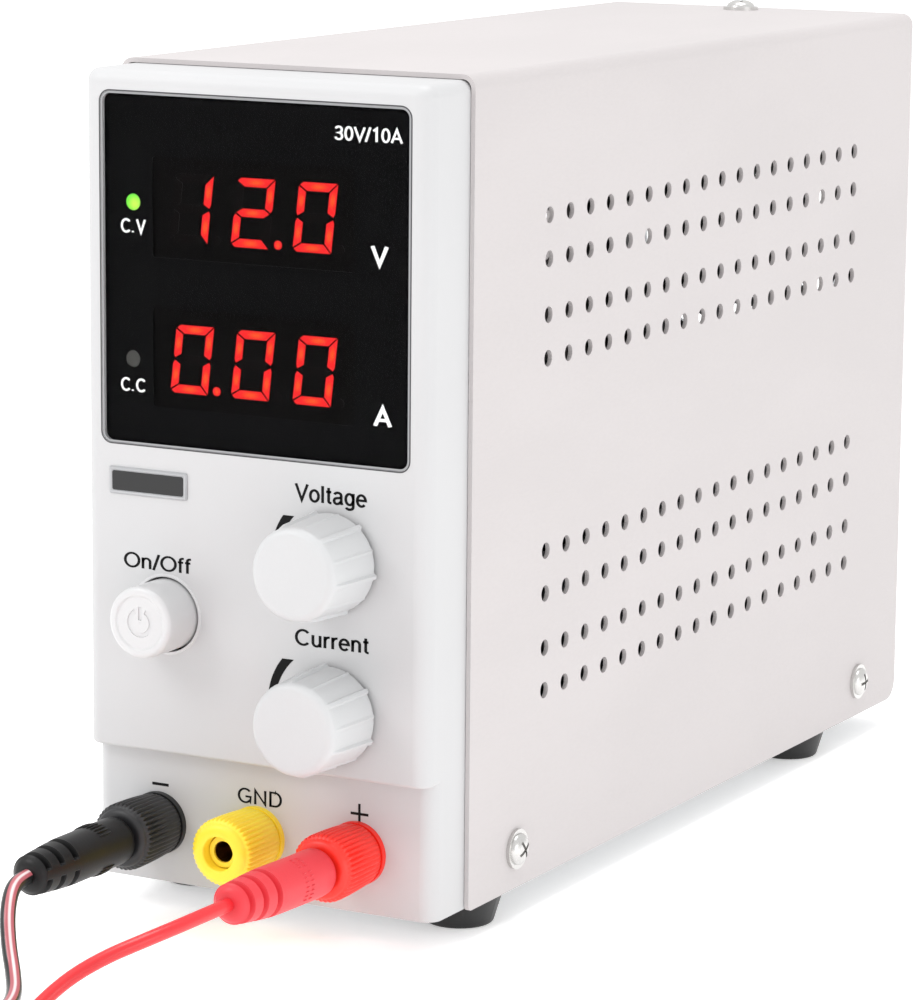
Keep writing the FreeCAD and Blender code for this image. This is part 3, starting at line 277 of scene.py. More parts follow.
# %% [markdown]
# ## The floor
#
# A plain white sweep, so broad that its edge is never seen.

# %% The floor
floor_mesh = bpy.data.meshes.new("floor")
reach = 6.0
floor_mesh.from_pydata([(-reach, -reach, 0), (reach, -reach, 0), (reach, reach, 0), (-reach, reach, 0)],
                       [], [(0, 1, 2, 3)])
floor = bpy.data.objects.new("floor", floor_mesh)
scene.collection.objects.link(floor)
floor_white = finish("white_floor", (0.95, 0.95, 0.95, 1), 0.9, grain=2.0, drift=0.005, glow=0.35)
floor_mesh.materials.append(floor_white)
floor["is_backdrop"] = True
print("floor at z = 0")

# %% [markdown]
# ## The two test leads
#
# Each lead is a thin round flex with a plug's hood at both ends. It leaves its hood level,
# sinks to the table and runs forwards, and its spare length lies in a neat tied coil beside
# the panel. A lead could be a swept tube, but a smooth spline with few control points bends as
# real flex does. So each lead is one NURBS spline of order 3, with the points of its route as
# control points. The coil is more points of the same spline: sixteen to a turn, four turns side
# by side on the table and four on top of them.

# %% The leads' routes
lead_routes = {
    "black": [(-0.0228, -0.14675, 0.0178), (-0.0224, -0.1508, 0.0172), (-0.0207, -0.1549, 0.0136),
              (-0.0184, -0.1578, 0.0086), (-0.0152, -0.1610, 0.0046), (-0.0114, -0.1662, 0.0022),
              (-0.0085, -0.1752, 0.0016), (-0.0081, -0.1862, 0.0016), (-0.0089, -0.1962, 0.0016)],
    "red": [(0.0200, -0.14675, 0.0187), (0.0196, -0.1528, 0.0186), (0.0183, -0.1594, 0.0180),
            (0.0157, -0.1661, 0.0168), (0.0114, -0.1719, 0.0147), (0.0070, -0.1772, 0.0114),
            (0.0040, -0.1836, 0.0068), (0.0044, -0.1912, 0.0032), (0.0064, -0.1988, 0.0016)],
}
lead_tails = {
    "black": [(-0.0096, -0.2108, 0.0045), (-0.0102, -0.2162, 0.0046), (-0.0106, -0.2222, 0.0046)],
    "red": [(0.0076, -0.2108, 0.0041), (0.0081, -0.2162, 0.0045), (0.0084, -0.2222, 0.0046)],
}
lead_radius = {"black": 0.00145, "red": 0.0013}
coil_middle = {"black": (-0.0300, -0.2062), "red": (0.0270, -0.2062)}
coil_radius = {"black": 0.0160, "red": 0.0155}
start_inside_hood = 0.0022
print({name: len(points) for name, points in lead_routes.items()}, "points before the coils")


# %% The coils' turns
steps_per_turn = 16
# A spline with sixteen control points to a turn runs inside them by this share.
spline_share = 0.981


def coil_points(lead):
    """Four turns winding inwards on the table, then four winding outwards on top of them. The
    first upper turn climbs over three steps, and dips inwards to clear the turn it leaves."""
    radius = lead_radius[lead]
    middle = coil_middle[lead]
    side = 1 if lead == "black" else -1
    columns = [coil_radius[lead] + radius * (3 - 2 * k) for k in range(4)]
    points = []
    for turn in range(8):
        for step in range(steps_per_turn):
            angle = -2 * math.pi * (step + 0.5) / steps_per_turn
            if turn < 4:
                share = max(0.0, (step - 12.5) / 3) if turn < 3 else 0.0
                reach = columns[turn] + (columns[min(turn + 1, 3)] - columns[turn]) * share
                height = radius
            else:
                share = min(1.0, (step + 0.5) / 3)
                k = turn - 4
                before = columns[3] if k == 0 else columns[4 - k]
                reach = before + (columns[3 - k] - before) * share
                height = 3 * radius
                if k == 0:
                    height = radius * (1 + 2 * share)
                    reach -= 0.9 * radius * math.sin(math.pi * share)
            reach /= spline_share
            points.append((middle[0] + side * reach * math.cos(angle),
                           middle[1] + reach * math.sin(angle), height))
    return points


def lead_curve(lead, material):
    radius = lead_radius[lead]
    inside = Vector(lead_routes[lead][0]) + Vector((0, start_inside_hood, 0))
    points = [tuple(inside)] + lead_routes[lead] + coil_points(lead) + lead_tails[lead]
    curve = bpy.data.curves.new(lead + "_lead", "CURVE")
    curve.dimensions = "3D"
    curve.bevel_depth = radius
    curve.bevel_resolution = 5
    curve.resolution_u = 8
    curve.use_fill_caps = True
    spline = curve.splines.new("NURBS")
    spline.points.add(len(points) - 1)
    for point, place in zip(spline.points, points):
        point.co = (*place, 1.0)
    spline.order_u = 3
    spline.use_endpoint_u = True
    curve.materials.append(material)
    piece = bpy.data.objects.new(lead + "_test_lead", curve)
    scene.collection.objects.link(piece)
    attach(piece, lead + "_test_lead")
    return piece


lead_finish = {
    "black": finish("black_lead_jacket", ink(30, 30, 32), 0.32, grain=0.6, relief=0.01, coat=0.3),
    "red": finish("red_lead_jacket", ink(214, 34, 42), 0.38, grain=0.6, relief=0.01, coat=0.2),
}
print("two jackets")

# %% [markdown]
# ## The black lead's stripe
#
# A reddish stripe runs along the black flex, and a pale line down its middle is a painted
# highlight. The spline's own map tells how far round the tube a spot lies, as a share of a
# turn. The distance from the stripe's middle is that share less the stripe's place, wrapped
# round so that it is never more than half a turn.

# %% The stripe
stripe_at = 0.1
stripe_edge, stripe_end = 0.095, 0.115
highlight_edge, highlight_end = 0.01, 0.045
bench, shader = bench_of(lead_finish["black"])
around = bench.add("ShaderNodeSeparateXYZ", None, {0: bench.add("ShaderNodeTexCoord", out="UV")}, "Y")
turned_to = around.sum("FRACT", around - stripe_at + 0.5)
off_stripe = around.sum("ABSOLUTE", turned_to - 0.5)
jacket = bench.blend((0.45, 0.11, 0.13, 1), (0.006, 0.007, 0.007, 1),
                     bench.smooth(off_stripe, stripe_edge, stripe_end))
# The pale line down the middle of the stripe is a painted highlight.
stripe_with_painted_highlight = bench.blend((0.80, 0.66, 0.66, 1), jacket, bench.smooth(off_stripe, highlight_edge, highlight_end))
bench.tree.links.new(stripe_with_painted_highlight.socket, shader.inputs["Base Color"])
leads = {lead: lead_curve(lead, lead_finish[lead]) for lead in ("black", "red")}
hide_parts("negative_lead", "negative_lead_coil")
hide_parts("positive_lead", "positive_lead_coil")
print("two leads, each one spline")

# %% [markdown]
# ## Making a piece
#
# Every new piece is finished in the same way: its mesh becomes an object at the origin, its
# faces are shaded smooth except across real edges, and it is told which part of the frame it
# moves with and which drawn part it stands for. Most pieces of a control panel are turned, so
# the second helper spins an outline about a line that runs from front to back. It can swell
# the radius as it goes round, which is how flutes, ribs and broken grooves are made in one mesh.


# %% Pieces and turned shapes
def piece(name, mesh, body, slot=None, stands_for=(), edge=35):
    thing = bpy.data.objects.new(name, mesh)
    scene.collection.objects.link(thing)
    mesh.polygons.foreach_set("use_smooth", [True] * len(mesh.polygons))
    mesh.set_sharp_from_angle(angle=math.radians(edge))
    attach(thing, body)
    if stands_for:
        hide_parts(*stands_for)
    print(f"{name}: {len(mesh.polygons)} faces")
    return thing


def turned(outline, steps, middle, swell=None, closed=False, facing=1):
    """Spins (back, radius) pairs round a front-to-back line through middle = (across, up).

    swell(angle, back, radius) returns the finished (back, radius). facing = -1 turns the
    piece round, so that its outline runs towards the front instead."""
    rows, points, faces = [], [], []
    for back, radius in outline:
        row = []
        for k in range(steps if radius else 1):
            angle = 2 * math.pi * k / steps
            here = swell(angle, back, radius) if swell and radius else (back, radius)
            row.append(len(points))
            points.append(at(middle[0] + facing * here[1] * math.cos(angle), here[0],
                             middle[1] + here[1] * math.sin(angle)))
        rows.append(row)
    for a, b in list(zip(rows, rows[1:])) + ([(rows[-1], rows[0])] if closed else []):
        for k in range(steps):
            n = (k + 1) % steps
            if len(a) == 1:
                face = (a[0], b[k], b[n])
            elif len(b) == 1:
                face = (a[k], b[0], a[n])
            else:
                face = (a[k], b[k], b[n], a[n])
            faces.append(face)
    return points, faces


def solid(name, shapes, material):
    """One mesh from several (points, faces) shapes."""
    points, faces = [], []
    for more_points, more_faces in shapes:
        start = len(points)
        points += more_points
        faces += [tuple(start + i for i in face) for face in more_faces]
    mesh = bpy.data.meshes.new(name)
    mesh.from_pydata(points, [], faces)
    mesh.materials.append(material)
    return mesh


def make(name, shapes, material, body, slot=None, stands_for=(), edge=35):
    """A piece from several (points, faces) shapes in one material."""
    return piece(name, solid(name, shapes, material), body, slot, stands_for, edge)


def bend(back, radius, size, start, end, count=6):
    """A rounded corner of an outline: an arc about (back, radius), from one angle to another in degrees."""
    return [(back + size * math.sin(math.radians(start + (end - start) * k / count)),
             radius + size * math.cos(math.radians(start + (end - start) * k / count)))
            for k in range(count + 1)]


def hump(distance, width):
    """1 at no distance, easing to 0 at the width."""
    share = min(1.0, abs(distance) / width)
    return 0.5 + 0.5 * math.cos(math.pi * share)


def ease(value, low, high):
    share = min(1.0, max(0.0, (value - low) / (high - low)))
    return share * share * (3 - 2 * share)


def turn_between(a, b):
    """How far apart two angles are, in radians."""
    return abs((a - b + math.pi) % (2 * math.pi) - math.pi)


print("helpers for turned pieces")

# %% [markdown]
# ## The two control knobs
#
# Each knob is a moulded cup with a broad flat face, a soft edge, and six thin ribs that widen
# into a nub at its foot; between them runs a faint ridge left by the mould. Modelling the ribs
# as separate blocks would leave hard seams. Swelling the radius of one turned shape keeps
# the ribs part of the skin, as they are in the moulding.

# %% The knobs
knob_white = finish("knob_moulding", ink(196, 197, 198), 0.42, grain=0.4, relief=0.008, drift=0.012)


def knob(name, height, first_rib):
    ribs = [math.radians(first_rib + 60 * k) for k in range(6)]
    ridges = [angle + math.radians(30) for angle in ribs]

    def swell(angle, back, radius):
        side = ease(back, -14.2, -12.0) if radius > 7.5 else 0.0
        near = min(turn_between(angle, a) for a in ribs) * 9.0
        ridge = max(hump(turn_between(angle, a) * 9.2, 0.45) for a in ridges)
        rib = 1 - ease(near, 0.28, 0.62)
        foot = (1 - ease(near, 0.4, 1.0)) * ease(back, -2.6, -1.4)
        return back, radius + side * (0.5 * rib + 0.22 * ridge + 0.12 * foot)

    outline = [(-14.8, 0)] + [(-14.8 + 0.02 * k / 6, 7.3 * k / 6) for k in range(1, 6)]
    outline += bend(-13.2, 7.15, 1.6, -90, -8, 10)
    outline += [(-12.9 + 1.1 * k, 8.74 + 0.05 * k) for k in range(1, 11)]
    outline += [(-1.25, 9.3), (-0.8, 9.25), (-0.8, 7.2), (-5.4, 7.2), (-5.4, 4.6), (-4.2, 4.6), (-4.2, 3.05),
                (-12.8, 3.05), (-12.8, 0)]
    shape = turned(outline, 360, (17.1, height), swell)
    make(name + "_moulding", [shape], knob_white, name, "knob_white", [name])


knob("voltage_knob", 67.0, -10)
knob("current_knob", 38.3, -24)

# %% [markdown]
# ## The power button
#
# A round button with a raised rim, a shallow dish and a power symbol pressed into it. The symbol
# is a ring open at the top with a bar through the opening. It is only about a sixth of a
# millimetre deep, so it is made by pushing the points of a fine polar grid back, not by cutting.

# %% The button
button_white = finish("button_moulding", ink(203, 203, 204), 0.3, relief=0.005, drift=0.01, coat=0.2)
button_middle = (-19.1, 53.3)


def press(angle, back, radius):
    """The dish, its rim and the pressed symbol of the button's face."""
    if back > -8.8 or radius > 5.7:
        return back, radius
    x, up = radius * math.cos(angle), radius * math.sin(angle)
    ring = abs(radius - 2.35) < 0.38 and turn_between(angle, math.pi / 2) > 0.45
    bar = abs(x) < 0.36 and 0.5 < up < 3.0
    dish = 0.3 * (1 - ease(radius, 4.9, 5.35))
    return back + dish + (0.22 if ring or bar else 0.0), radius


button_outline = [(-9.3, 0)] + [(-9.3, 0.08 * k) for k in range(1, 72)]
button_outline += bend(-8.35, 5.85, 0.95, -85, 0, 8)
button_outline += [(-6.0, 6.8), (-3.0, 6.8), (0.0, 6.8), (5.0, 6.8), (5.0, 2.3)]
button_end = (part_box("power_button")[1].y - FACE) / MM
button_outline += [(button_end, 2.3), (button_end, 0)]
make("power_button_moulding", [turned(button_outline, 216, button_middle, press)], button_white,
     "power_button", "button_white", ["power_button"])

# %% [markdown]
# ## The ring round the button
#
# The panel rises in a small rounded ring where the button passes through it. The ring belongs
# to the case, so it stays in place when the button is pressed.

# %% The ring
surround = [(0.0, 7.12), (-0.16, 7.2), (-0.22, 7.4), (-0.16, 7.62), (0.0, 7.75), (0.3, 7.75), (0.3, 7.12)]
make("button_surround", [turned(surround, 120, button_middle, closed=True)], button_white, "case",
     "button_white")

# %% [markdown]
# ## The terminals' screw caps
#
# Each terminal has a coloured cap that screws down on a bare wire. It is a thick sleeve with
# fine flutes for the fingers, a smooth domed nose and a round mouth for a plug. The
# outline goes up the outside and back through the bore, so the sleeve is one closed skin.

# %% The caps
cap_finish = {
    "negative": finish("black_cap_moulding", ink(30, 30, 32), 0.42, grain=0.5, relief=0.01),
    "ground": finish("yellow_cap_moulding", ink(255, 226, 58), 0.38, grain=0.5, relief=0.01, drift=0.02),
    "positive": finish("red_cap_moulding", ink(242, 42, 28), 0.38, grain=0.5, relief=0.01, drift=0.03),
}
post_across = {"negative": -22.8, "ground": -1.0, "positive": 20.8}
post_up = 11.8
flutes = 42


def flute(angle, back, radius):
    """Rounded ridges that fade out over the nose and stop short of the foot."""
    if radius < 5.65 or back > 1.5:
        return back, radius
    depth = 0.42 * ease(back, -10.1, -9.3) * (1 - 0.65 * ease(back, -8.0, 0.0))
    wave = 0.5 - 0.5 * math.cos(flutes * angle)
    return back, radius - depth * wave ** 1.4


cap_outline = bend(-10.65, 3.6, 0.4, -180, -90, 4)
cap_outline += [(-11.05, 4.2), (-11.0, 4.7), (-10.85, 5.1), (-10.6, 5.42), (-10.3, 5.58),
                (-10.1, 5.66), (-9.95, 5.9), (-9.75, 6.2), (-9.5, 6.4), (-9.2, 6.48)]
cap_outline += [(-8.8 + 0.6 * k, 6.5 - 0.0016 * k * k) for k in range(17)]
cap_outline += [(1.4, 5.98), (1.6, 5.85), (1.7, 5.6), (1.7, 4.55), (-5.0, 4.55), (-5.0, 3.2)]
for name, across in post_across.items():
    shape = turned(cap_outline, flutes * 8, (across, post_up), flute, closed=True)
    slot = {"negative": "black_plastic", "ground": "cap_yellow", "positive": "cap_red"}[name]
    make(name + "_cap_moulding", [shape], cap_finish[name], name + "_cap", slot, [name + "_cap"])
dress(cap_finish["negative"], "negative_collar", "negative_cap_insert")
dress(cap_finish["ground"], "ground_collar")
dress(cap_finish["positive"], "positive_collar")

# %% [markdown]
# ## The plugs' hoods
#
# A hood is a soft moulded grip: a straight barrel at the front, then a taper with three grooves
# that let it flex, and a blunt round tail. The red ones have plain ring grooves. On the black
# ones ribs along the sides break the grooves into slots. Both lie in the same outline, so one
# function turns all four and only the ribs differ. The near red hood is soft and leans a little
# with the pull of its lead.

# %% The hoods
near_mouth, far_mouth = -12.15, -148.4
far_up = -1.4
far_across = {"negative": -10.6, "positive": 8.4}
barrel = 4.6
hood_finish = {
    "negative": finish("black_hood_rubber", ink(10, 10, 11), 0.42, grain=0.5, relief=0.015, specular=0.35),
    "positive": finish("red_hood_rubber", ink(216, 50, 60), 0.42, grain=0.5, relief=0.015, drift=0.02),
}


def hood_radius(along):
    """The hood's radius so far behind its mouth, before its grooves."""
    return barrel - 1.05 * max(0.0, (along - 17.0) / 13.4) ** 1.3


def lean(along):
    """How far the soft red hood leans, across and up, so far behind its mouth."""
    share = (max(0.0, along) / 30.4) ** 1.5
    return -0.8 * share, 0.9 * share


def hood(name, across, up, mouth, facing):
    """A hood that runs towards the front (facing 1) or, for the lead's far end, towards the back."""
    groove_at = [19.2, 23.3, 27.2]
    rib_at = [math.radians(v) for v in (6, 186)] if name == "negative" else []

    def shape(angle, back, radius):
        along = (mouth - back) * facing
        if radius < 2.5:
            return back, radius
        groove = 1 - ease(min(abs(along - g) for g in groove_at), 0.5, 0.8)
        rib = 1 - ease(min([turn_between(angle, a) for a in rib_at], default=9.0), 0.22, 0.34)
        return back, radius - 1.05 * groove * (1 - rib)

    stations = [17.0 + 0.1 * k for k in range(111)]
    backs = [(29.2, 0.0), (29.2, 1.6), (29.1, 2.3), (28.85, 2.85), (28.5, 3.25), (28.2, 3.45)]
    backs += [(s, hood_radius(s)) for s in reversed(stations)]
    backs += [(14.0, barrel), (10.0, barrel), (5.0, barrel), (1.2, barrel), (0.35, 4.52), (0.0, 4.25),
              (0.0, 1.95), (6.0, 1.95), (6.0, 0.0)]
    outline = [(mouth - facing * along, radius) for along, radius in backs]
    points, faces = turned(outline, 180, (across, up), shape, facing=facing)
    if name == "positive" and facing > 0:
        for p in points:
            aside, lift = lean(mouth - (p.y - FACE) / MM)
            p.x += aside * MM
            p.z += lift * MM
    return points, faces


for name, colour in (("negative", "black"), ("positive", "red")):
    near = hood(name, post_across[name], post_up, near_mouth, 1)
    far = hood(name, far_across[name], far_up, far_mouth, -1)
    mesh = solid(colour + "_hoods", [near, far], hood_finish[name])
    piece(colour + "_plug_hoods", mesh, colour + "_test_lead", "hood_" + colour, [name + "_plug_hoods"])

# %% [markdown]
# ## The coils' ties
#
# Two bands of black nylon hold each coil: one near the panel and one across from it. A band is
# bent over the coil like a staple, 3 mm wide, and its ends are tucked in under the lowest turns.


# %% The ties
def coil_tie(lead, degrees):
    """A band over a lead's coil, tucked in under its sides."""
    radius, reach = lead_radius[lead] / MM, coil_radius[lead] / MM
    inner, outer, top = reach - 4 * radius - 0.25, reach + 4 * radius + 0.25, 4 * radius + 0.25
    inside = [(inner + 0.6, 0.15), (inner, 0.7), (inner, top - 0.7), (inner + 0.7, top), (outer - 0.7, top),
              (outer, top - 0.7), (outer, 0.7), (outer - 0.6, 0.15)]
    outside = [(inner + 0.5, 0.02), (inner - 0.5, 0.5), (inner - 0.5, top - 0.4), (inner + 0.4, top + 0.5),
               (outer - 0.4, top + 0.5), (outer + 0.5, top - 0.4), (outer + 0.5, 0.5), (outer - 0.5, 0.02)]
    turn, middle = math.radians(degrees), coil_middle[lead]
    along, across = Vector((math.cos(turn), math.sin(turn), 0)), Vector((-math.sin(turn), math.cos(turn), 0))
    points = [Vector((*middle, 0)) + along * (x * MM) + across * (side * 1.5 * MM) + Vector((0, 0, z * MM))
              for side in (-1, 1) for rail in (inside, outside) for x, z in rail]
    faces = []
    for k in range(7):
        for a, b in ((0, 8), (8, 24), (24, 16), (16, 0)):
            faces.append((a + k, b + k, b + k + 1, a + k + 1))
    return points, faces + [(0, 16, 24, 8), (7, 15, 31, 23)]


tie_nylon = finish("tie_nylon", ink(34, 34, 36), 0.45, grain=0.5, relief=0.01)
for lead, ends in (("black", "negative"), ("red", "positive")):
    ties = [coil_tie(lead, 80), coil_tie(lead, 260)]
    make(lead + "_coil_ties", ties, tie_nylon, lead + "_test_lead")
print("each coil has two ties")

# %% [markdown]
# ## The ground socket's mouth
#
# No plug fills the ground terminal, so its mouth is seen. A thin yellow ring lines the socket a
# little way in.

# %% The socket's ring
liner = [(-8.95, 2.06), (-9.0, 2.2), (-9.0, 2.95), (-8.55, 3.1), (-8.5, 2.95), (-8.5, 2.06)]
liner_shape = turned(liner, 72, (post_across["ground"], post_up), closed=True)
make("ground_socket_liner", [liner_shape], cap_finish["ground"], "case")

# %% [markdown]
# ## Repeats by Geometry Nodes
#
# Screws, grip dashes and board parts are the same small shape many times over. A geometry tree
# puts an instance on every point of a scatter mesh, aimed along a direction stored on the point,
# and makes them real at its end. The scatter mesh holds only places and directions, so moving
# a screw means moving one point. After that the result is kept as a plain mesh.


# %% Growing shapes on points
def growing(name, build, places, material, body, slot=None, stands_for=(), **sizes):
    """Grows a shape on points. build(bench, group input) returns the wire of the shape, which stands
    along +Z; places holds (place, direction, turn) for each point; sizes are the tree's named inputs."""
    seeds = bpy.data.meshes.new(name + "_seeds")
    seeds.from_pydata([place for place, _, _ in places], [], [])
    for title, kind, index in (("direction", "FLOAT_VECTOR", 1), ("turn", "FLOAT", 2)):
        store = seeds.attributes.new(title, kind, "POINT")
        for item, entry in zip(store.data, places):
            if index == 1:
                item.vector = entry[1]
            else:
                item.value = entry[2]
    holder = bpy.data.objects.new(name + "_seeds", seeds)
    scene.collection.objects.link(holder)
    tree = bpy.data.node_groups.new(name, "GeometryNodeTree")
    tree.interface.new_socket("Geometry", in_out="INPUT", socket_type="NodeSocketGeometry")
    tree.interface.new_socket("Geometry", in_out="OUTPUT", socket_type="NodeSocketGeometry")
    named = {title: tree.interface.new_socket(title, in_out="INPUT", socket_type="NodeSocketFloat")
             for title in sizes}
    bench = Bench(tree)
    entry = bench.add("NodeGroupInput")
    shape = build(bench, entry)
    aim = bench.add("GeometryNodeInputNamedAttribute", {"data_type": "FLOAT_VECTOR"}, {"Name": "direction"})
    spin = bench.add("GeometryNodeInputNamedAttribute", {"data_type": "FLOAT"}, {"Name": "turn"})
    first = bench.add("ShaderNodeCombineXYZ", None, {"Z": spin})
    facing = bench.add("FunctionNodeAlignRotationToVector", {"axis": "Z"}, {"Vector": aim})
    rotated = bench.add("FunctionNodeRotateRotation", {"rotation_space": "LOCAL"},
                        {0: facing, 1: bench.add("FunctionNodeEulerToRotation", None, {0: first})})
    grown = bench.add("GeometryNodeInstanceOnPoints", None,
                      {"Points": entry, "Instance": shape, "Rotation": rotated})
    real = bench.add("GeometryNodeRealizeInstances", None, {"Geometry": grown})
    done = bench.add("GeometryNodeSetMaterial", None, {"Geometry": real, "Material": material})
    bench.add("NodeGroupOutput", None, {0: done})
    modifier = holder.modifiers.new(name, "NODES")
    modifier.node_group = tree
    for title, socket in named.items():
        modifier[socket.identifier] = sizes[title]
    graph = bpy.context.evaluated_depsgraph_get()
    mesh = bpy.data.meshes.new_from_object(holder.evaluated_get(graph))
    mesh.name = name
    bpy.data.objects.remove(holder)
    return piece(name, mesh, body, slot, stands_for)


def box_shape(bench, x, y, z):
    size = bench.add("ShaderNodeCombineXYZ", None, {"X": x, "Y": y, "Z": z})
    return bench.add("GeometryNodeMeshCube", None, {"Size": size})


def moved(bench, shape, x=0.0, y=0.0, z=0.0, scale=(1.0, 1.0, 1.0)):
    place = bench.add("ShaderNodeCombineXYZ", None, {"X": x, "Y": y, "Z": z})
    return bench.add("GeometryNodeTransform", None, {"Geometry": shape, "Translation": place, "Scale": scale})


print("growing, box_shape and moved")

# %% [markdown]
# ## Screws
#
# The cover is held by bright zinc screws with a washer pressed onto the head and a cross recess.
# The head is a slice of a ball, the washer a thin drum, and the cross is cut with two
# bars, each of which is a named size of the tree. The smaller screws of the rear panel, the
# boards and the feet keep their drawn shapes and take the same zinc finish.

# %% The screws
zinc = finish("zinc_plate", ink(208, 207, 205), 0.28, grain=0.4, relief=0.006, drift=0.05, metal=0.9)


def screw_shape(bench, entry):
    radius, height = entry.out("head radius"), entry.out("head height")
    washer, thick = entry.out("washer radius"), entry.out("washer thickness")
    slot = entry.out("slot width")
    drum = bench.add("GeometryNodeMeshCylinder", {"fill_type": "NGON"},
                     {"Vertices": 40, "Radius": washer, "Depth": thick})
    drum = moved(bench, drum, z=thick * 0.5)
    ball = bench.add("GeometryNodeMeshUVSphere", None, {"Segments": 40, "Rings": 20, "Radius": 1.0})
    squash = bench.add("ShaderNodeCombineXYZ", None, {"X": radius, "Y": radius, "Z": height})
    ball = bench.add("GeometryNodeTransform", None, {"Geometry": ball, "Scale": squash})
    ball = moved(bench, ball, z=thick)
    length = entry.out("shank length")
    shank = bench.add("GeometryNodeMeshCylinder", {"fill_type": "NGON"},
                      {"Vertices": 24, "Radius": entry.out("shank radius"), "Depth": length})
    shank = moved(bench, shank, z=length * -0.5 + height * 0.4)
    first = moved(bench, box_shape(bench, radius * 1.2, slot, height), z=thick + height * 0.8)
    second = moved(bench, box_shape(bench, slot, radius * 1.2, height), z=thick + height * 0.8)
    body = bench.add("GeometryNodeMeshBoolean", {"operation": "UNION", "solver": "EXACT"})
    for part in (drum, ball, shank):
        bench.tree.links.new(part.socket, body.socket.node.inputs["Mesh 2"])
    cut = bench.add("GeometryNodeMeshBoolean", {"operation": "DIFFERENCE", "solver": "EXACT"},
                    {"Mesh 1": body})
    for part in (first, second):
        bench.tree.links.new(part.socket, cut.socket.node.inputs["Mesh 2"])
    return cut


def screws(name, node, places, radius, height, washer, thick, length):
    sizes = {"head radius": radius * MM, "head height": height * MM, "washer radius": washer * MM,
             "washer thickness": thick * MM, "slot width": 0.62 * MM, "shank radius": 1.5 * MM,
             "shank length": length * MM}
    return growing(name, screw_shape, places, zinc, "case", "screw_steel", [node], **sizes)


side_screws = [(at(38.0 * side, back, 7.8), (side, 0, 0), 0.3 + 0.7 * back / 100)
               for side in (-1, 1) for back in (33.6, 198.2)]
screws("cover_screw_set", "cover_screws", side_screws + [(at(0, 211.0, 156.0), (0, 0, 1), 0.5)],
       3.1, 1.5, 3.9, 0.7, 5.0)

# %% [markdown]
# ## Grip marks on the hoods
#
# Near its mouth each hood has small moulded marks that stop a thumb from slipping: on the red
# ones two columns of tiny dashes, on the black ones short longer ridges. A few dozen faces
# each are plenty for marks a millimetre long.

# %% The grip marks
def dash_shape(bench, entry):
    ball = bench.add("GeometryNodeMeshUVSphere", None, {"Segments": 10, "Rings": 6, "Radius": 1.0})
    half = {"X": entry.out("width") * 0.5, "Y": entry.out("length") * 0.5, "Z": entry.out("height")}
    size = bench.add("ShaderNodeCombineXYZ", None, half)
    return bench.add("GeometryNodeTransform", None, {"Geometry": ball, "Scale": size})


def grip_places(across, up, mouth, facing, columns, angles):
    """The marks' places and directions; none is put where the hood lies on the table."""
    places, lowest = [], 0.5 * MM
    for along in columns:
        for angle in angles:
            out = Vector((math.cos(angle), 0, math.sin(angle)))
            here = at(across, mouth - facing * along, up) + out * (barrel * MM)
            if across > 0 and facing > 0:
                aside, lift = lean(along)
                here += Vector((aside * MM, 0, lift * MM))
            if here.z > lowest:
                places.append((here, out, 0.0))
    return places


def grips(name, columns, angles, length, width, height):
    places = grip_places(post_across[name], post_up, near_mouth, 1, columns, angles)
    places += grip_places(far_across[name], far_up, far_mouth, -1, columns, angles)
    lead = "black" if name == "negative" else "red"
    return growing(lead + "_hood_grips", dash_shape, places, hood_finish[name], lead + "_test_lead",
                   "hood_" + lead, **{"length": length * MM, "width": width * MM, "height": height * MM})


rows = [math.radians(-32 + 11 * k) for k in range(7)] + [math.radians(52 + 9 * k) for k in range(4)]
grips("positive", (8.4, 10.2), rows + [a + math.pi for a in rows], 1.2, 0.36, 0.22)
rows = [math.radians(-66 + 10 * k) for k in range(4)] + [math.radians(48 + 10 * k) for k in range(7)]
grips("negative", (8.0,), rows + [a + math.pi for a in rows], 4.2, 0.5, 0.34)

# %% [markdown]
# ## Flat shapes and lettering
#
# Printing has almost no thickness, yet a picture can't be used for it here. So each
# printed shape is a sliver of a solid standing a few hundredths of a millimetre proud.
# A filled curve makes the flat shapes. A font could make the lettering, but its proportions are
# never quite the printer's. So each letter is drawn in a few pen strokes, every stroke becomes
# a thin bar, and each word is fitted to the width and height that it has on the panel.


# %% Printing
def flat_shape(loops, back, thick):
    """A sliver of a solid with holes where loops lie inside each other. Loops hold (across, up)."""
    curve = bpy.data.curves.new("flat", "CURVE")
    curve.dimensions, curve.fill_mode, curve.extrude = "2D", "BOTH", thick / 2
    for loop in loops:
        spline = curve.splines.new("POLY")
        spline.points.add(len(loop) - 1)
        for point, (x, y) in zip(spline.points, loop):
            point.co = (x, y, 0, 1)
        spline.use_cyclic_u = True
    return plain(curve, lambda p: at(p.x, back - p.z, p.y))


def plain(data, place):
    """The mesh of a flat curve, as points and faces, with every point put in its place."""
    holder = bpy.data.objects.new("holder", data)
    scene.collection.objects.link(holder)
    graph = bpy.context.evaluated_depsgraph_get()
    mesh = bpy.data.meshes.new_from_object(holder.evaluated_get(graph))
    bpy.data.objects.remove(holder)
    points = [v.co.copy() for v in mesh.vertices]
    return [place(p) for p in points], [tuple(f.vertices) for f in mesh.polygons]


def arc(x, y, wide, tall, start, end, count=14):
    """Points along part of an oval, from one angle to another in degrees."""
    return [(x + wide * math.cos(math.radians(start + (end - start) * k / count)),
             y + tall * math.sin(math.radians(start + (end - start) * k / count))) for k in range(count + 1)]


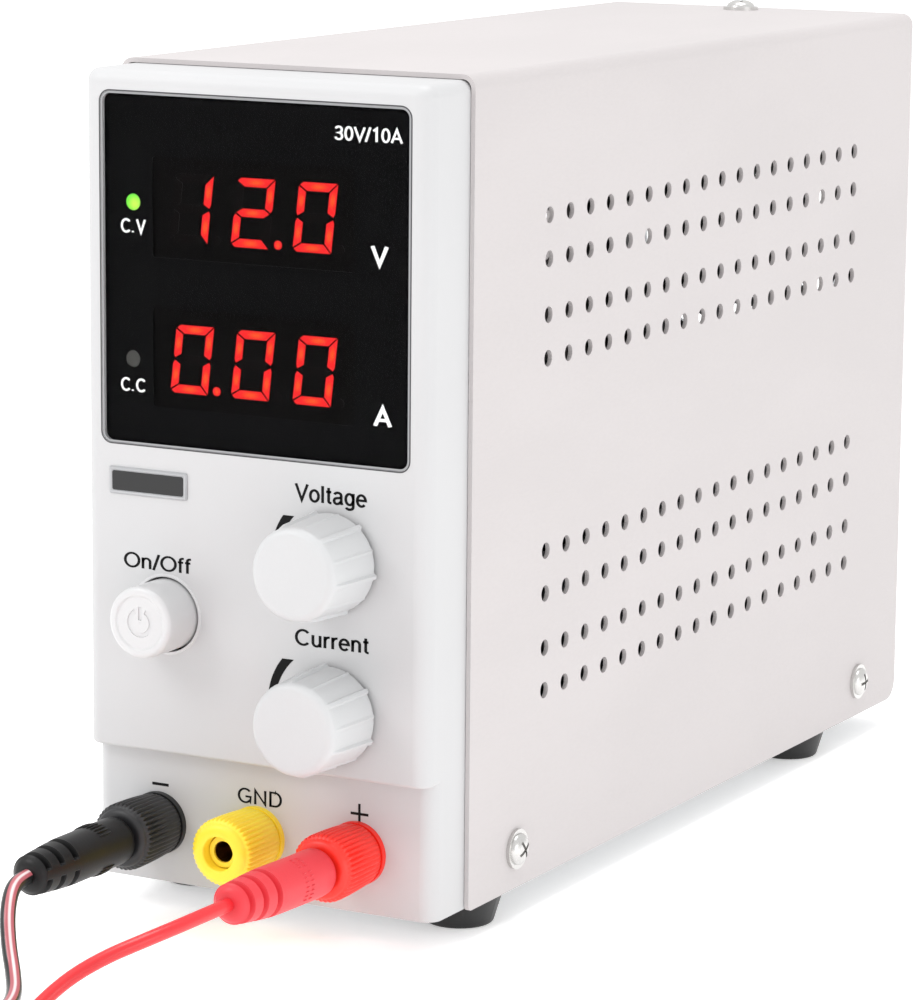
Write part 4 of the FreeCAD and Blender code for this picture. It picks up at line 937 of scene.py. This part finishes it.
# Each letter is its width and its pen strokes, on a capital that is 1 high.
letters = {
    "O": (0.80, [arc(0.40, 0.5, 0.35, 0.46, 0, 360, 36)]),
    "C": (0.76, [arc(0.40, 0.5, 0.35, 0.46, 42, 318, 28)]),
    "G": (0.80, [arc(0.40, 0.5, 0.35, 0.46, 42, 322, 28) + [(0.70, 0.13), (0.70, 0.45), (0.42, 0.45)]]),
    "N": (0.76, [[(0.09, 0), (0.09, 0.96), (0.65, 0.04), (0.65, 1)]]),
    "D": (0.76, [[(0.10, 0.04), (0.10, 0.96), (0.36, 0.96)] + arc(0.36, 0.5, 0.32, 0.46, 90, -90, 20)
                 + [(0.10, 0.04), (0.10, 0.5)]]),
    "V": (0.68, [[(0.03, 1), (0.34, 0.05), (0.65, 1)]]),
    "A": (0.68, [[(0.03, 0), (0.34, 0.96), (0.65, 0)], [(0.15, 0.32), (0.53, 0.32)]]),
    "n": (0.56, [[(0.09, 0), (0.09, 0.73)],
                 [(0.09, 0.38)] + arc(0.27, 0.47, 0.18, 0.22, 165, 0) + [(0.45, 0)]]),
    "u": (0.56, [[(0.46, 0.73), (0.46, 0)], [(0.09, 0.73)] + arc(0.27, 0.26, 0.18, 0.22, 180, 345)]),
    "r": (0.34, [[(0.09, 0), (0.09, 0.73)], arc(0.30, 0.44, 0.21, 0.25, 175, 80)]),
    "f": (0.30, [[(0.13, 0)] + arc(0.26, 0.83, 0.13, 0.13, 180, 90, 8) + [(0.31, 0.96)],
                 [(0.01, 0.69), (0.28, 0.69)]]),
    "t": (0.30, [[(0.14, 0.93)] + arc(0.25, 0.15, 0.11, 0.11, 180, 270, 8) + [(0.29, 0.04)],
                 [(0.01, 0.69), (0.28, 0.69)]]),
    "l": (0.22, [[(0.10, 0), (0.10, 1)]]),
    "o": (0.56, [arc(0.28, 0.36, 0.22, 0.33, 0, 360, 32)]),
    "e": (0.56, [[(0.07, 0.38), (0.50, 0.38)] + arc(0.28, 0.36, 0.22, 0.33, 4, 318, 30)]),
    "a": (0.56, [arc(0.27, 0.53, 0.18, 0.17, 165, 0) + [(0.45, 0.15), (0.50, 0)],
                 [(0.45, 0.42), (0.25, 0.38)] + arc(0.22, 0.20, 0.15, 0.17, 100, 270, 12)
                 + [(0.33, 0.06), (0.45, 0.2)]]),
    "g": (0.56, [arc(0.27, 0.37, 0.20, 0.32, 0, 360, 32),
                 [(0.47, 0.73)] + arc(0.27, -0.05, 0.20, 0.18, 0, -155)]),
    "/": (0.30, [[(0.0, -0.03), (0.28, 1.03)]]),
    ".": (0.34, [[(0.10, 0.02), (0.10, 0.13)]]),
    "3": (0.58, [arc(0.27, 0.74, 0.19, 0.22, 160, -90, 20)[:-1] + arc(0.27, 0.28, 0.21, 0.24, 90, -165, 20)]),
    "0": (0.58, [arc(0.28, 0.5, 0.21, 0.46, 0, 360, 32)]),
    "1": (0.58, [[(0.13, 0.78), (0.33, 0.96), (0.33, 0)]]),
}


def word(text, left, right, low, high, back, pen, thick=0.04, gap=0.06):
    """A word in pen strokes, fitted between its left and right edges and its lowest and highest
    points. The pen's width and the gap between letters are shares of a capital's height."""
    strokes, reach = [], 0.0
    for letter in text:
        width, shapes = letters[letter]
        strokes += [[(x + reach, y) for x, y in shape] for shape in shapes]
        reach += width + gap
    xs = [x for stroke in strokes for x, _ in stroke]
    ys = [y for stroke in strokes for _, y in stroke]
    x_scale = (right - left) / (max(xs) - min(xs) + pen)
    y_scale = (high - low) / (max(ys) - min(ys) + pen)
    points, faces = [], []
    for stroke in strokes:
        start, count = len(points), len(stroke)
        for k, (x, y) in enumerate(stroke):
            before = Vector(stroke[max(0, k - 1)])
            after = Vector(stroke[min(count - 1, k + 1)])
            here = Vector((x, y))
            into = (here - before).normalized() if k else (after - here).normalized()
            out_of = (after - here).normalized() if k < count - 1 else into
            mean = (into + out_of).normalized()
            side = Vector((-mean.y, mean.x)) * (pen / 2 / max(0.35, mean.dot(into)))
            for sign, depth in ((1, 0), (-1, 0), (-1, 1), (1, 1)):
                points.append(at(left + (x + sign * side.x - min(xs) + pen / 2) * x_scale,
                                 back - thick * (1 - depth),
                                 low + (y + sign * side.y - min(ys) + pen / 2) * y_scale))
        for k in range(count - 1):
            a, b = start + 4 * k, start + 4 * k + 4
            for m in range(4):
                n = (m + 1) % 4
                faces.append((a + m, a + n, b + n, b + m))
        last = start + 4 * (count - 1)
        faces += [(start + 3, start + 2, start + 1, start), (last, last + 1, last + 2, last + 3)]
    return points, faces


def rounded(left, right, low, high, corner, count=8):
    """The loop of a rectangle with round corners."""
    loop = []
    for x, y, start in ((right - corner, high - corner, 0), (left + corner, high - corner, 90),
                        (left + corner, low + corner, 180), (right - corner, low + corner, 270)):
        for k in range(count + 1):
            angle = math.radians(start + 90 * k / count)
            loop.append((x + corner * math.cos(angle), y + corner * math.sin(angle)))
    return loop


def disc(x, y, radius, count=40):
    return arc(x, y, radius, radius, 0, 360, count)[:-1]


print("flat_shape, word, rounded and disc")

# %% [markdown]
# ## The panel's lettering
#
# Thin black letters name the button, the knobs and the terminals. A tapered black arc beside
# each knob shows which way it turns: blunt at the top, thinning to nothing at its lower end.

# %% Panel lettering
print_black = finish("panel_ink", ink(12, 12, 13), 0.6, grain=0.3, relief=0.002, specular=0.15)
words = [word("On/Off", -28.4, -13.2, 61.3, 64.7, 0.0, 0.135),
         word("Voltage", 9.0, 24.3, 76.9, 81.2, 0.0, 0.145),
         word("Current", 9.1, 25.1, 50.5, 53.8, 0.0, 0.145),
         word("GND", -5.2, 4.5, 18.0, 21.2, 3.05, 0.13, gap=0.08),
         flat_shape([rounded(-24.3, -20.6, 19.05, 19.6, 0.05, 1)], 3.03, 0.04),
         flat_shape([[(20.98, 17.35), (21.47, 17.35), (21.47, 19.05), (23.15, 19.05),
                      (23.15, 19.55), (21.47, 19.55), (21.47, 21.25), (20.98, 21.25),
                      (20.98, 19.55), (19.35, 19.55), (19.35, 19.05), (20.98, 19.05)]], 3.03, 0.04)]
outer, inner = 13.1, 11.3
for across, up, cut in ((17.1, 67.0, 7.8), (16.4, 39.3, 8.45)):
    start, stop = (180 - math.degrees(math.asin(cut / r)) for r in (outer, inner))
    edge = arc(across, up, outer, outer, start, 240, 60)
    for k in range(61):
        angle = math.radians(240 + (stop - 240) * k / 60)
        reach = inner + (outer - 0.05 - inner) * ((240 - math.degrees(angle)) / (240 - stop) - 1) ** 2
        edge.append((across + reach * math.cos(angle), up + reach * math.sin(angle)))
    words.append(flat_shape([edge], -0.02, 0.04))
make("panel_lettering", words, print_black, "case")

# %% [markdown]
# ## The display window
#
# Behind the clear pane lies a black printed mask with two openings for the readouts and two
# small round ones for the lamps; the units are printed on it in white. The readouts
# themselves stand just behind. The pane is a thin dark film over all of that: mostly
# see-through, and still glossy. A low alpha does this with no refraction, which a flat
# sheet one millimetre thick would hardly show.

# %% The pane and the mask
pane = finish("clear_pane", ink(8, 8, 9), 0.06, grain=3.0, relief=0.0002, uneven=0.02, alpha=0.1,
              specular=0.12)
sheet = flat_shape([rounded(-33.0, 33.0, 85.15, 150.95, 1.95)], 0.58, 0.86)
make("window_pane", [sheet], pane, "case", "window_plastic", ["display_window"])
mask_black = finish("mask_print", ink(8, 8, 9), 0.7, grain=0.5, relief=0.001, specular=0.03)
lamp_at = {"cv": (-26.55, 130.5), "cc": (-26.75, 101.1)}
mask = flat_shape([rounded(-32.75, 32.85, 85.35, 150.65, 1.8), rounded(-22.3, 20.9, 120.5, 139.2, 0.5),
                   rounded(-22.3, 20.9, 92.4, 111.2, 0.5), disc(*lamp_at["cv"], 1.55),
                   disc(*lamp_at["cc"], 1.55)], 1.10, 0.08)

# %% [markdown]
# ## The window's edge
#
# Two thin frames close the window. A fine grey line where the cut edge of the pane catches
# the light is a painted highlight, and a dark frame in the gap between the pane and the panel
# is a painted shadow.

# %% The painted edge highlight, the painted gap shadow and the print behind the pane
# A fine grey frame round the pane: a painted highlight on its cut edge.
painted_edge_highlight = finish("glass_edge_painted_highlight", ink(150, 151, 153), 0.3, grain=0.4, relief=0.002)
edge_highlight_line = flat_shape([rounded(-32.98, 32.98, 85.17, 150.93, 1.9),
                        rounded(-32.62, 32.62, 85.53, 150.57, 1.6)], 0.13, 0.03)
make("window_edge_painted_highlight", [edge_highlight_line], painted_edge_highlight, "case")
# A dark frame in the gap round the pane: a painted shadow.
painted_gap_shadow = finish("window_gap_painted_shadow", ink(64, 64, 66), 0.5, grain=0.4, relief=0.002)
gap_shadow_frame = flat_shape([rounded(-33.3, 33.3, 84.85, 151.25, 2.3),
                   rounded(-33.06, 33.06, 85.09, 151.01, 2.05)], -0.02, 0.04)
make("window_gap_painted_shadow", [gap_shadow_frame], painted_gap_shadow, "case")
make("window_mask", [mask], mask_black, "case")
# The white print carries a faint painted glow, though it is no lamp.
print_white_painted_glow = finish("white_ink_painted_glow", ink(250, 250, 250), 0.5, grain=0.3, relief=0.002, glow=0.3)
behind, film = 1.05, 0.02
printed = [word("V", 24.2, 28.0, 122.0, 125.9, behind, 0.17, film),
           word("A", 24.9, 28.9, 92.6, 96.5, behind, 0.17, film),
           word("30V/10A", 16.6, 30.8, 144.1, 147.1, behind, 0.15, film, 0.04),
           word("C.V", -29.3, -23.75, 124.6, 127.5, behind, 0.17, film),
           word("C.C", -29.5, -24.0, 94.8, 97.5, behind, 0.17, film)]
make("window_lettering", printed, print_white_painted_glow, "case")

# %% [markdown]
# ## The digits
#
# A readout shows three figures of seven bars. Every bar is a slim six-sided sliver over a tiny
# light, brightest in its middle, where the red turns orange. Each bar's own map runs from -1
# to 1 along and across it, and the glow is mixed from the distance to its middle. Bars that are
# off are barely lighter than the case around them.

# %% Lit and unlit bars
lit_bar = finish("lit_bar", ink(60, 6, 6), 0.6, glow=1.15, specular=0.1)
bench, shader = bench_of(lit_bar)
spot = bench.add("ShaderNodeUVMap", {"uv_map": "bar"})
split = bench.add("ShaderNodeSeparateXYZ", None, {0: spot})
along, side = split.out("X"), split.out("Y")
distance = (along * along * 1.6 + side * side * 0.7) ** 0.5
centre = bench.smooth(1.0 - distance, 0.2, 1.0)
glow = bench.blend((1.0, 0.02, 0.022, 1), (1.0, 0.115, 0.02, 1), centre)
bench.tree.links.new(glow.socket, shader.inputs["Emission Color"])
dark_bar = finish("unlit_bar", ink(15, 12, 12), 0.7, grain=0.4, relief=0.002, specular=0.02)
readout_black = finish("readout_case", ink(7, 6, 6), 0.7, grain=0.6, relief=0.004, specular=0.02)
dress(readout_black, "readout_modules")

half_wide, half_tall, stroke = 4.12, 6.45, 1.7
slant = math.tan(math.radians(6.6))
inner_wide, inner_tall = half_wide - stroke, half_tall - stroke
top_bar = [(-half_wide + 0.8, half_tall), (half_wide - 0.05, half_tall), (inner_wide, inner_tall),
           (-inner_wide, inner_tall), (-half_wide + 0.1, half_tall - 0.6)]
side_bar = [(half_wide, half_tall - 0.05), (half_wide, 0.75), (half_wide - 0.35, 0.1), (inner_wide, 0.85),
            (inner_wide, inner_tall)]
left_bar = [(-half_wide, half_tall - 0.7), (-half_wide, 0.75), (-half_wide + 0.35, 0.1), (-inner_wide, 0.85),
            (-inner_wide, inner_tall)]
middle_bar = [(-half_wide + 0.45, 0.0), (-inner_wide, 0.82), (inner_wide, 0.82), (half_wide - 0.45, 0.0),
              (inner_wide, -0.82), (-inner_wide, -0.82)]


def below(shape):
    """The same bar, mirrored into the lower half of the figure."""
    return [(x, -y) for x, y in shape]


bars = {"a": top_bar, "b": side_bar, "f": left_bar, "g": middle_bar,
        "d": below(top_bar), "c": below(side_bar), "e": below(left_bar)}
figures = {"0": "abcdef", "1": "bc", "2": "abged"}


def bar_outline(letter):
    """The corners of a bar about the figure's middle, drawn in by half the gap between bars,
    with each corner's place on the bar's own map."""
    shape = [Vector(p) for p in bars[letter]]
    xs, ys = [p.x for p in shape], [p.y for p in shape]
    middle = Vector(((min(xs) + max(xs)) / 2, (min(ys) + max(ys)) / 2))
    long_x = max(xs) - min(xs) > max(ys) - min(ys)
    corners = []
    for p in shape:
        arm = p - middle
        q = p - arm.normalized() * 0.17
        u, v = arm.x / (max(xs) - min(xs)) * 2, arm.y / (max(ys) - min(ys)) * 2
        corners.append((q.x + q.y * slant, q.y, *((u, v) if long_x else (v, u))))
    return corners


def bar_mesh(name, outlines, material, back, thick):
    points, faces, maps = [], [], []
    for outline in outlines:
        start, count = len(points), len(outline)
        points += [at(x, depth, y) for depth in (back, back + thick) for x, y, _, _ in outline]
        front = [start + k for k in range(count)]
        if sum(a[0] * b[1] - b[0] * a[1] for a, b in zip(outline, outline[1:] + outline[:1])) < 0:
            front.reverse()
        faces.append(tuple(front))
        faces.append(tuple(reversed([i + count for i in front])))
        for a, b in zip(front, front[1:] + front[:1]):
            faces.append((b, a, a + count, b + count))
        maps += [(u, v) for _, _, u, v in outline] * 2
    mesh = bpy.data.meshes.new(name)
    mesh.from_pydata(points, [], faces)
    layer = mesh.uv_layers.new(name="bar")
    for loop in mesh.loops:
        layer.data[loop.index].uv = maps[loop.vertex_index]
    mesh.materials.append(material)
    return mesh


def dot_outline(x, y, radius=0.85, count=14):
    return [(x + radius * u, y + radius * v, u, v) for u, v in disc(0.0, 0.0, 1.0, count)]


lit, unlit = [], []
for up, reading, dot_after in ((129.9, "120", 1), (101.8, "000", 0)):
    for column, figure in enumerate(reading):
        middle = -0.8 + 13.2 * (column - 1)
        for letter in bars:
            outline = [(x + middle, y + up, u, v) for x, y, u, v in bar_outline(letter)]
            (lit if letter in figures[figure] else unlit).append(outline)
        dot = dot_outline(middle + 5.33, up - 5.5)
        (lit if column == dot_after else unlit).append(dot)
piece("lit_bars", bar_mesh("lit_bars", lit, lit_bar, 1.44, 0.04), "case")
piece("unlit_bars", bar_mesh("unlit_bars", unlit, dark_bar, 1.44, 0.04), "case")

# %% [markdown]
# ## The two lamps
#
# A green lamp says that the voltage is held constant and the other, dark for now, that the
# current is. Each shines through a small round diffuser set in the mask, greenest at its rim
# and nearly yellow over the lamp itself.

# %% The lamps
lamp_green = finish("lit_lamp", ink(60, 150, 30), 0.3, glow=1.0)
bench, shader = bench_of(lamp_green)
place = bench.add("ShaderNodeTexCoord", out="Object")
off = bench.add("ShaderNodeVectorMath", {"operation": "DISTANCE"},
                {0: place, 1: at(-26.2, 1.1, 130.2)}, "Value")
glow = bench.blend((0.75, 0.95, 0.10, 1), (0.13, 0.72, 0.03, 1), bench.smooth(off * 1000.0, 0.1, 1.9))
bench.tree.links.new(glow.socket, shader.inputs["Emission Color"])
lamp_dark = finish("dark_lamp", ink(58, 58, 54), 0.35, grain=0.5, relief=0.003)
dress(lamp_green, "cv_lamp")
dress(lamp_dark, "cc_lamp")
for name, material in (("cv", lamp_green), ("cc", lamp_dark)):
    diffuser = flat_shape([disc(*lamp_at[name], 1.52)], 1.10, 0.06)
    make(name + "_diffuser", [diffuser], material, "case")

# %% [markdown]
# ## The badge
#
# A small plate is stuck below the window: a black field in a bevelled pale metal frame. The
# frame is the bevelled drawn outline and the field a second sliver on top. It is left blank.

# %% The badge
badge_frame = finish("badge_frame", ink(170, 171, 173), 0.32, grain=0.3, relief=0.004, metal=0.3)
badge_field = finish("badge_field", ink(20, 20, 21), 0.35, grain=0.6, relief=0.004)


def stepped_plate(left, right, low, high, back, steps):
    """A plate whose edge climbs towards the viewer; steps holds (inset, height) pairs."""
    points, faces, count = [], [], 0
    for inset, height in steps:
        loop = rounded(left + inset, right - inset, low + inset, high - inset, max(0.05, 0.4 - inset))
        count = len(loop)
        points += [at(x, back - height, y) for x, y in loop]
    for layer in range(len(steps) - 1):
        for k in range(count):
            n = (k + 1) % count
            a, b = layer * count, (layer + 1) * count
            faces.append((a + k, a + n, b + n, b + k))
    faces.append(tuple(range(count - 1, -1, -1)))
    faces.append(tuple(range((len(steps) - 1) * count, len(steps) * count)))
    return points, faces


frame_plate = stepped_plate(-31.4, -14.2, 75.4, 80.6, 0.0,
                            [(0, 0), (0, 0.2), (0.25, 0.48), (0.55, 0.5), (0.7, 0.34)])
field_plate = stepped_plate(-30.65, -14.95, 76.15, 79.85, -0.3, [(0, 0), (0, 0.08), (0.05, 0.12)])
make("badge_rim", [frame_plate], badge_frame, "case", "badge_black", ["badge_plate"], 20)
make("badge_field", [field_plate], badge_field, "case", "badge_black", edge=20)

# %% [markdown]
# ## The case
#
# The cover is folded steel with a baked powder paint, which sets to a fine orange-peel texture
# drawn out a little along the sheet. The front is moulded grey plastic, smoother, with only a
# trace of spark-eroded grain. Both are shapes from the frame, so they only need a finish.

# %% The case's finishes
case_paint = finish("painted_steel", ink(191, 186, 186), 0.55, grain=0.55, relief=0.035, drift=0.02,
                    stretch=(1, 0.35, 1))
grey_plastic = finish("grey_moulding", ink(194, 194, 195), 0.5, grain=0.35, relief=0.006, drift=0.01)
steel = finish("tray_steel", ink(176, 178, 180), 0.38, grain=0.8, relief=0.01, drift=0.06,
               stretch=(1, 0.1, 1), metal=0.85)
rubber = finish("foot_rubber", ink(26, 26, 27), 0.42, grain=0.7, relief=0.02)
dress(case_paint, "top_cover")
dress(grey_plastic, "front_bezel")
dress(steel, "chassis_tray")
dress(rubber, "feet")

# %% [markdown]
# ## Metal parts
#
# Studs, nuts, pins and shafts are turned metal, so their grain runs round them in fine lines.

# %% Metals
nickel = finish("nickel_plate", ink(196, 192, 184), 0.25, grain=0.3, relief=0.004, drift=0.05,
                stretch=(1, 6, 1), metal=1.0)
brass = finish("brass", ink(196, 160, 92), 0.3, grain=0.3, relief=0.005, drift=0.08,
               stretch=(1, 6, 1), metal=1.0)
aluminium = finish("finned_aluminium", ink(150, 152, 155), 0.4, grain=0.6, relief=0.01, drift=0.05,
                   stretch=(1, 0.08, 1), metal=0.9)
copper = finish("enamelled_copper", ink(176, 84, 40), 0.28, relief=0.01, drift=0.1, metal=0.8, coat=0.5)
dress(nickel, "post_nuts", "pot_nuts", "voltage_pot_shaft", "current_pot_shaft", "negative_plug_pins",
      "positive_plug_pins", "inlet_pins")
dress(brass, "post_studs", "ground_cap_insert", "positive_cap_insert", "board_standoffs", "negative_cap_insert")
dress(aluminium, "heatsinks")
dress(copper, "output_choke")

# %% [markdown]
# ## Inside the case
#
# Green boards, black transistors and connectors, a grey ferrite core wrapped in yellow tape,
# dark sleeved capacitors, a black fan and the inlet's parts. None of them shows from outside,
# but a learner who takes the cover off should find them finished.

# %% Insides
board_green = finish("board_mask", ink(28, 92, 54), 0.35, grain=0.8, relief=0.01, drift=0.12, coat=0.3)
black_nylon = finish("black_nylon", ink(30, 30, 32), 0.45, grain=0.5, relief=0.012)
ferrite = finish("ferrite", ink(62, 62, 66), 0.55, grain=0.4, relief=0.02, drift=0.1)
tape = finish("winding_tape", ink(226, 184, 62), 0.3, grain=2.0, relief=0.03, drift=0.1,
              stretch=(1, 1, 4), coat=0.4)
sleeve = finish("capacitor_sleeve", ink(32, 38, 66), 0.32, grain=0.8, relief=0.01, drift=0.1, coat=0.3)
glass = finish("fuse_glass", ink(200, 206, 200), 0.12, grain=1.0, relief=0.003, coat=0.5)
switch_red = finish("selector_red", ink(196, 42, 34), 0.35, grain=0.5, relief=0.008)
wire_red = finish("hook_up_wire", ink(180, 36, 30), 0.4, grain=0.6, relief=0.01, drift=0.06)
dress(board_green, "display_board", "control_board", "main_board")
dress(black_nylon, "pot_bodies", "power_switch", "power_transistors", "fan_frame", "fan_rotor", "inlet_shell",
      "fuse_drawer", "selector_body")
dress(ferrite, "transformer_core")
dress(tape, "transformer_winding")
dress(sleeve, "capacitors")
dress(glass, "fuse")
dress(switch_red, "selector_slider")
dress(wire_red, "output_wires")
dress(zinc, "foot_screws", "panel_screws", "inner_screws")

# %% [markdown]
# ## Checking the size
#
# The finished model must fill the same box as the frame. How far its box grows past the
# frame's, at the low and the high corner, is printed.

# %% Sizes and the end
visual_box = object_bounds()
growth = [[round((a - b) * 1000, 2) for a, b in zip(new, old)] for new, old in zip(visual_box, cad_box)]
print("box grows by", growth, "mm")
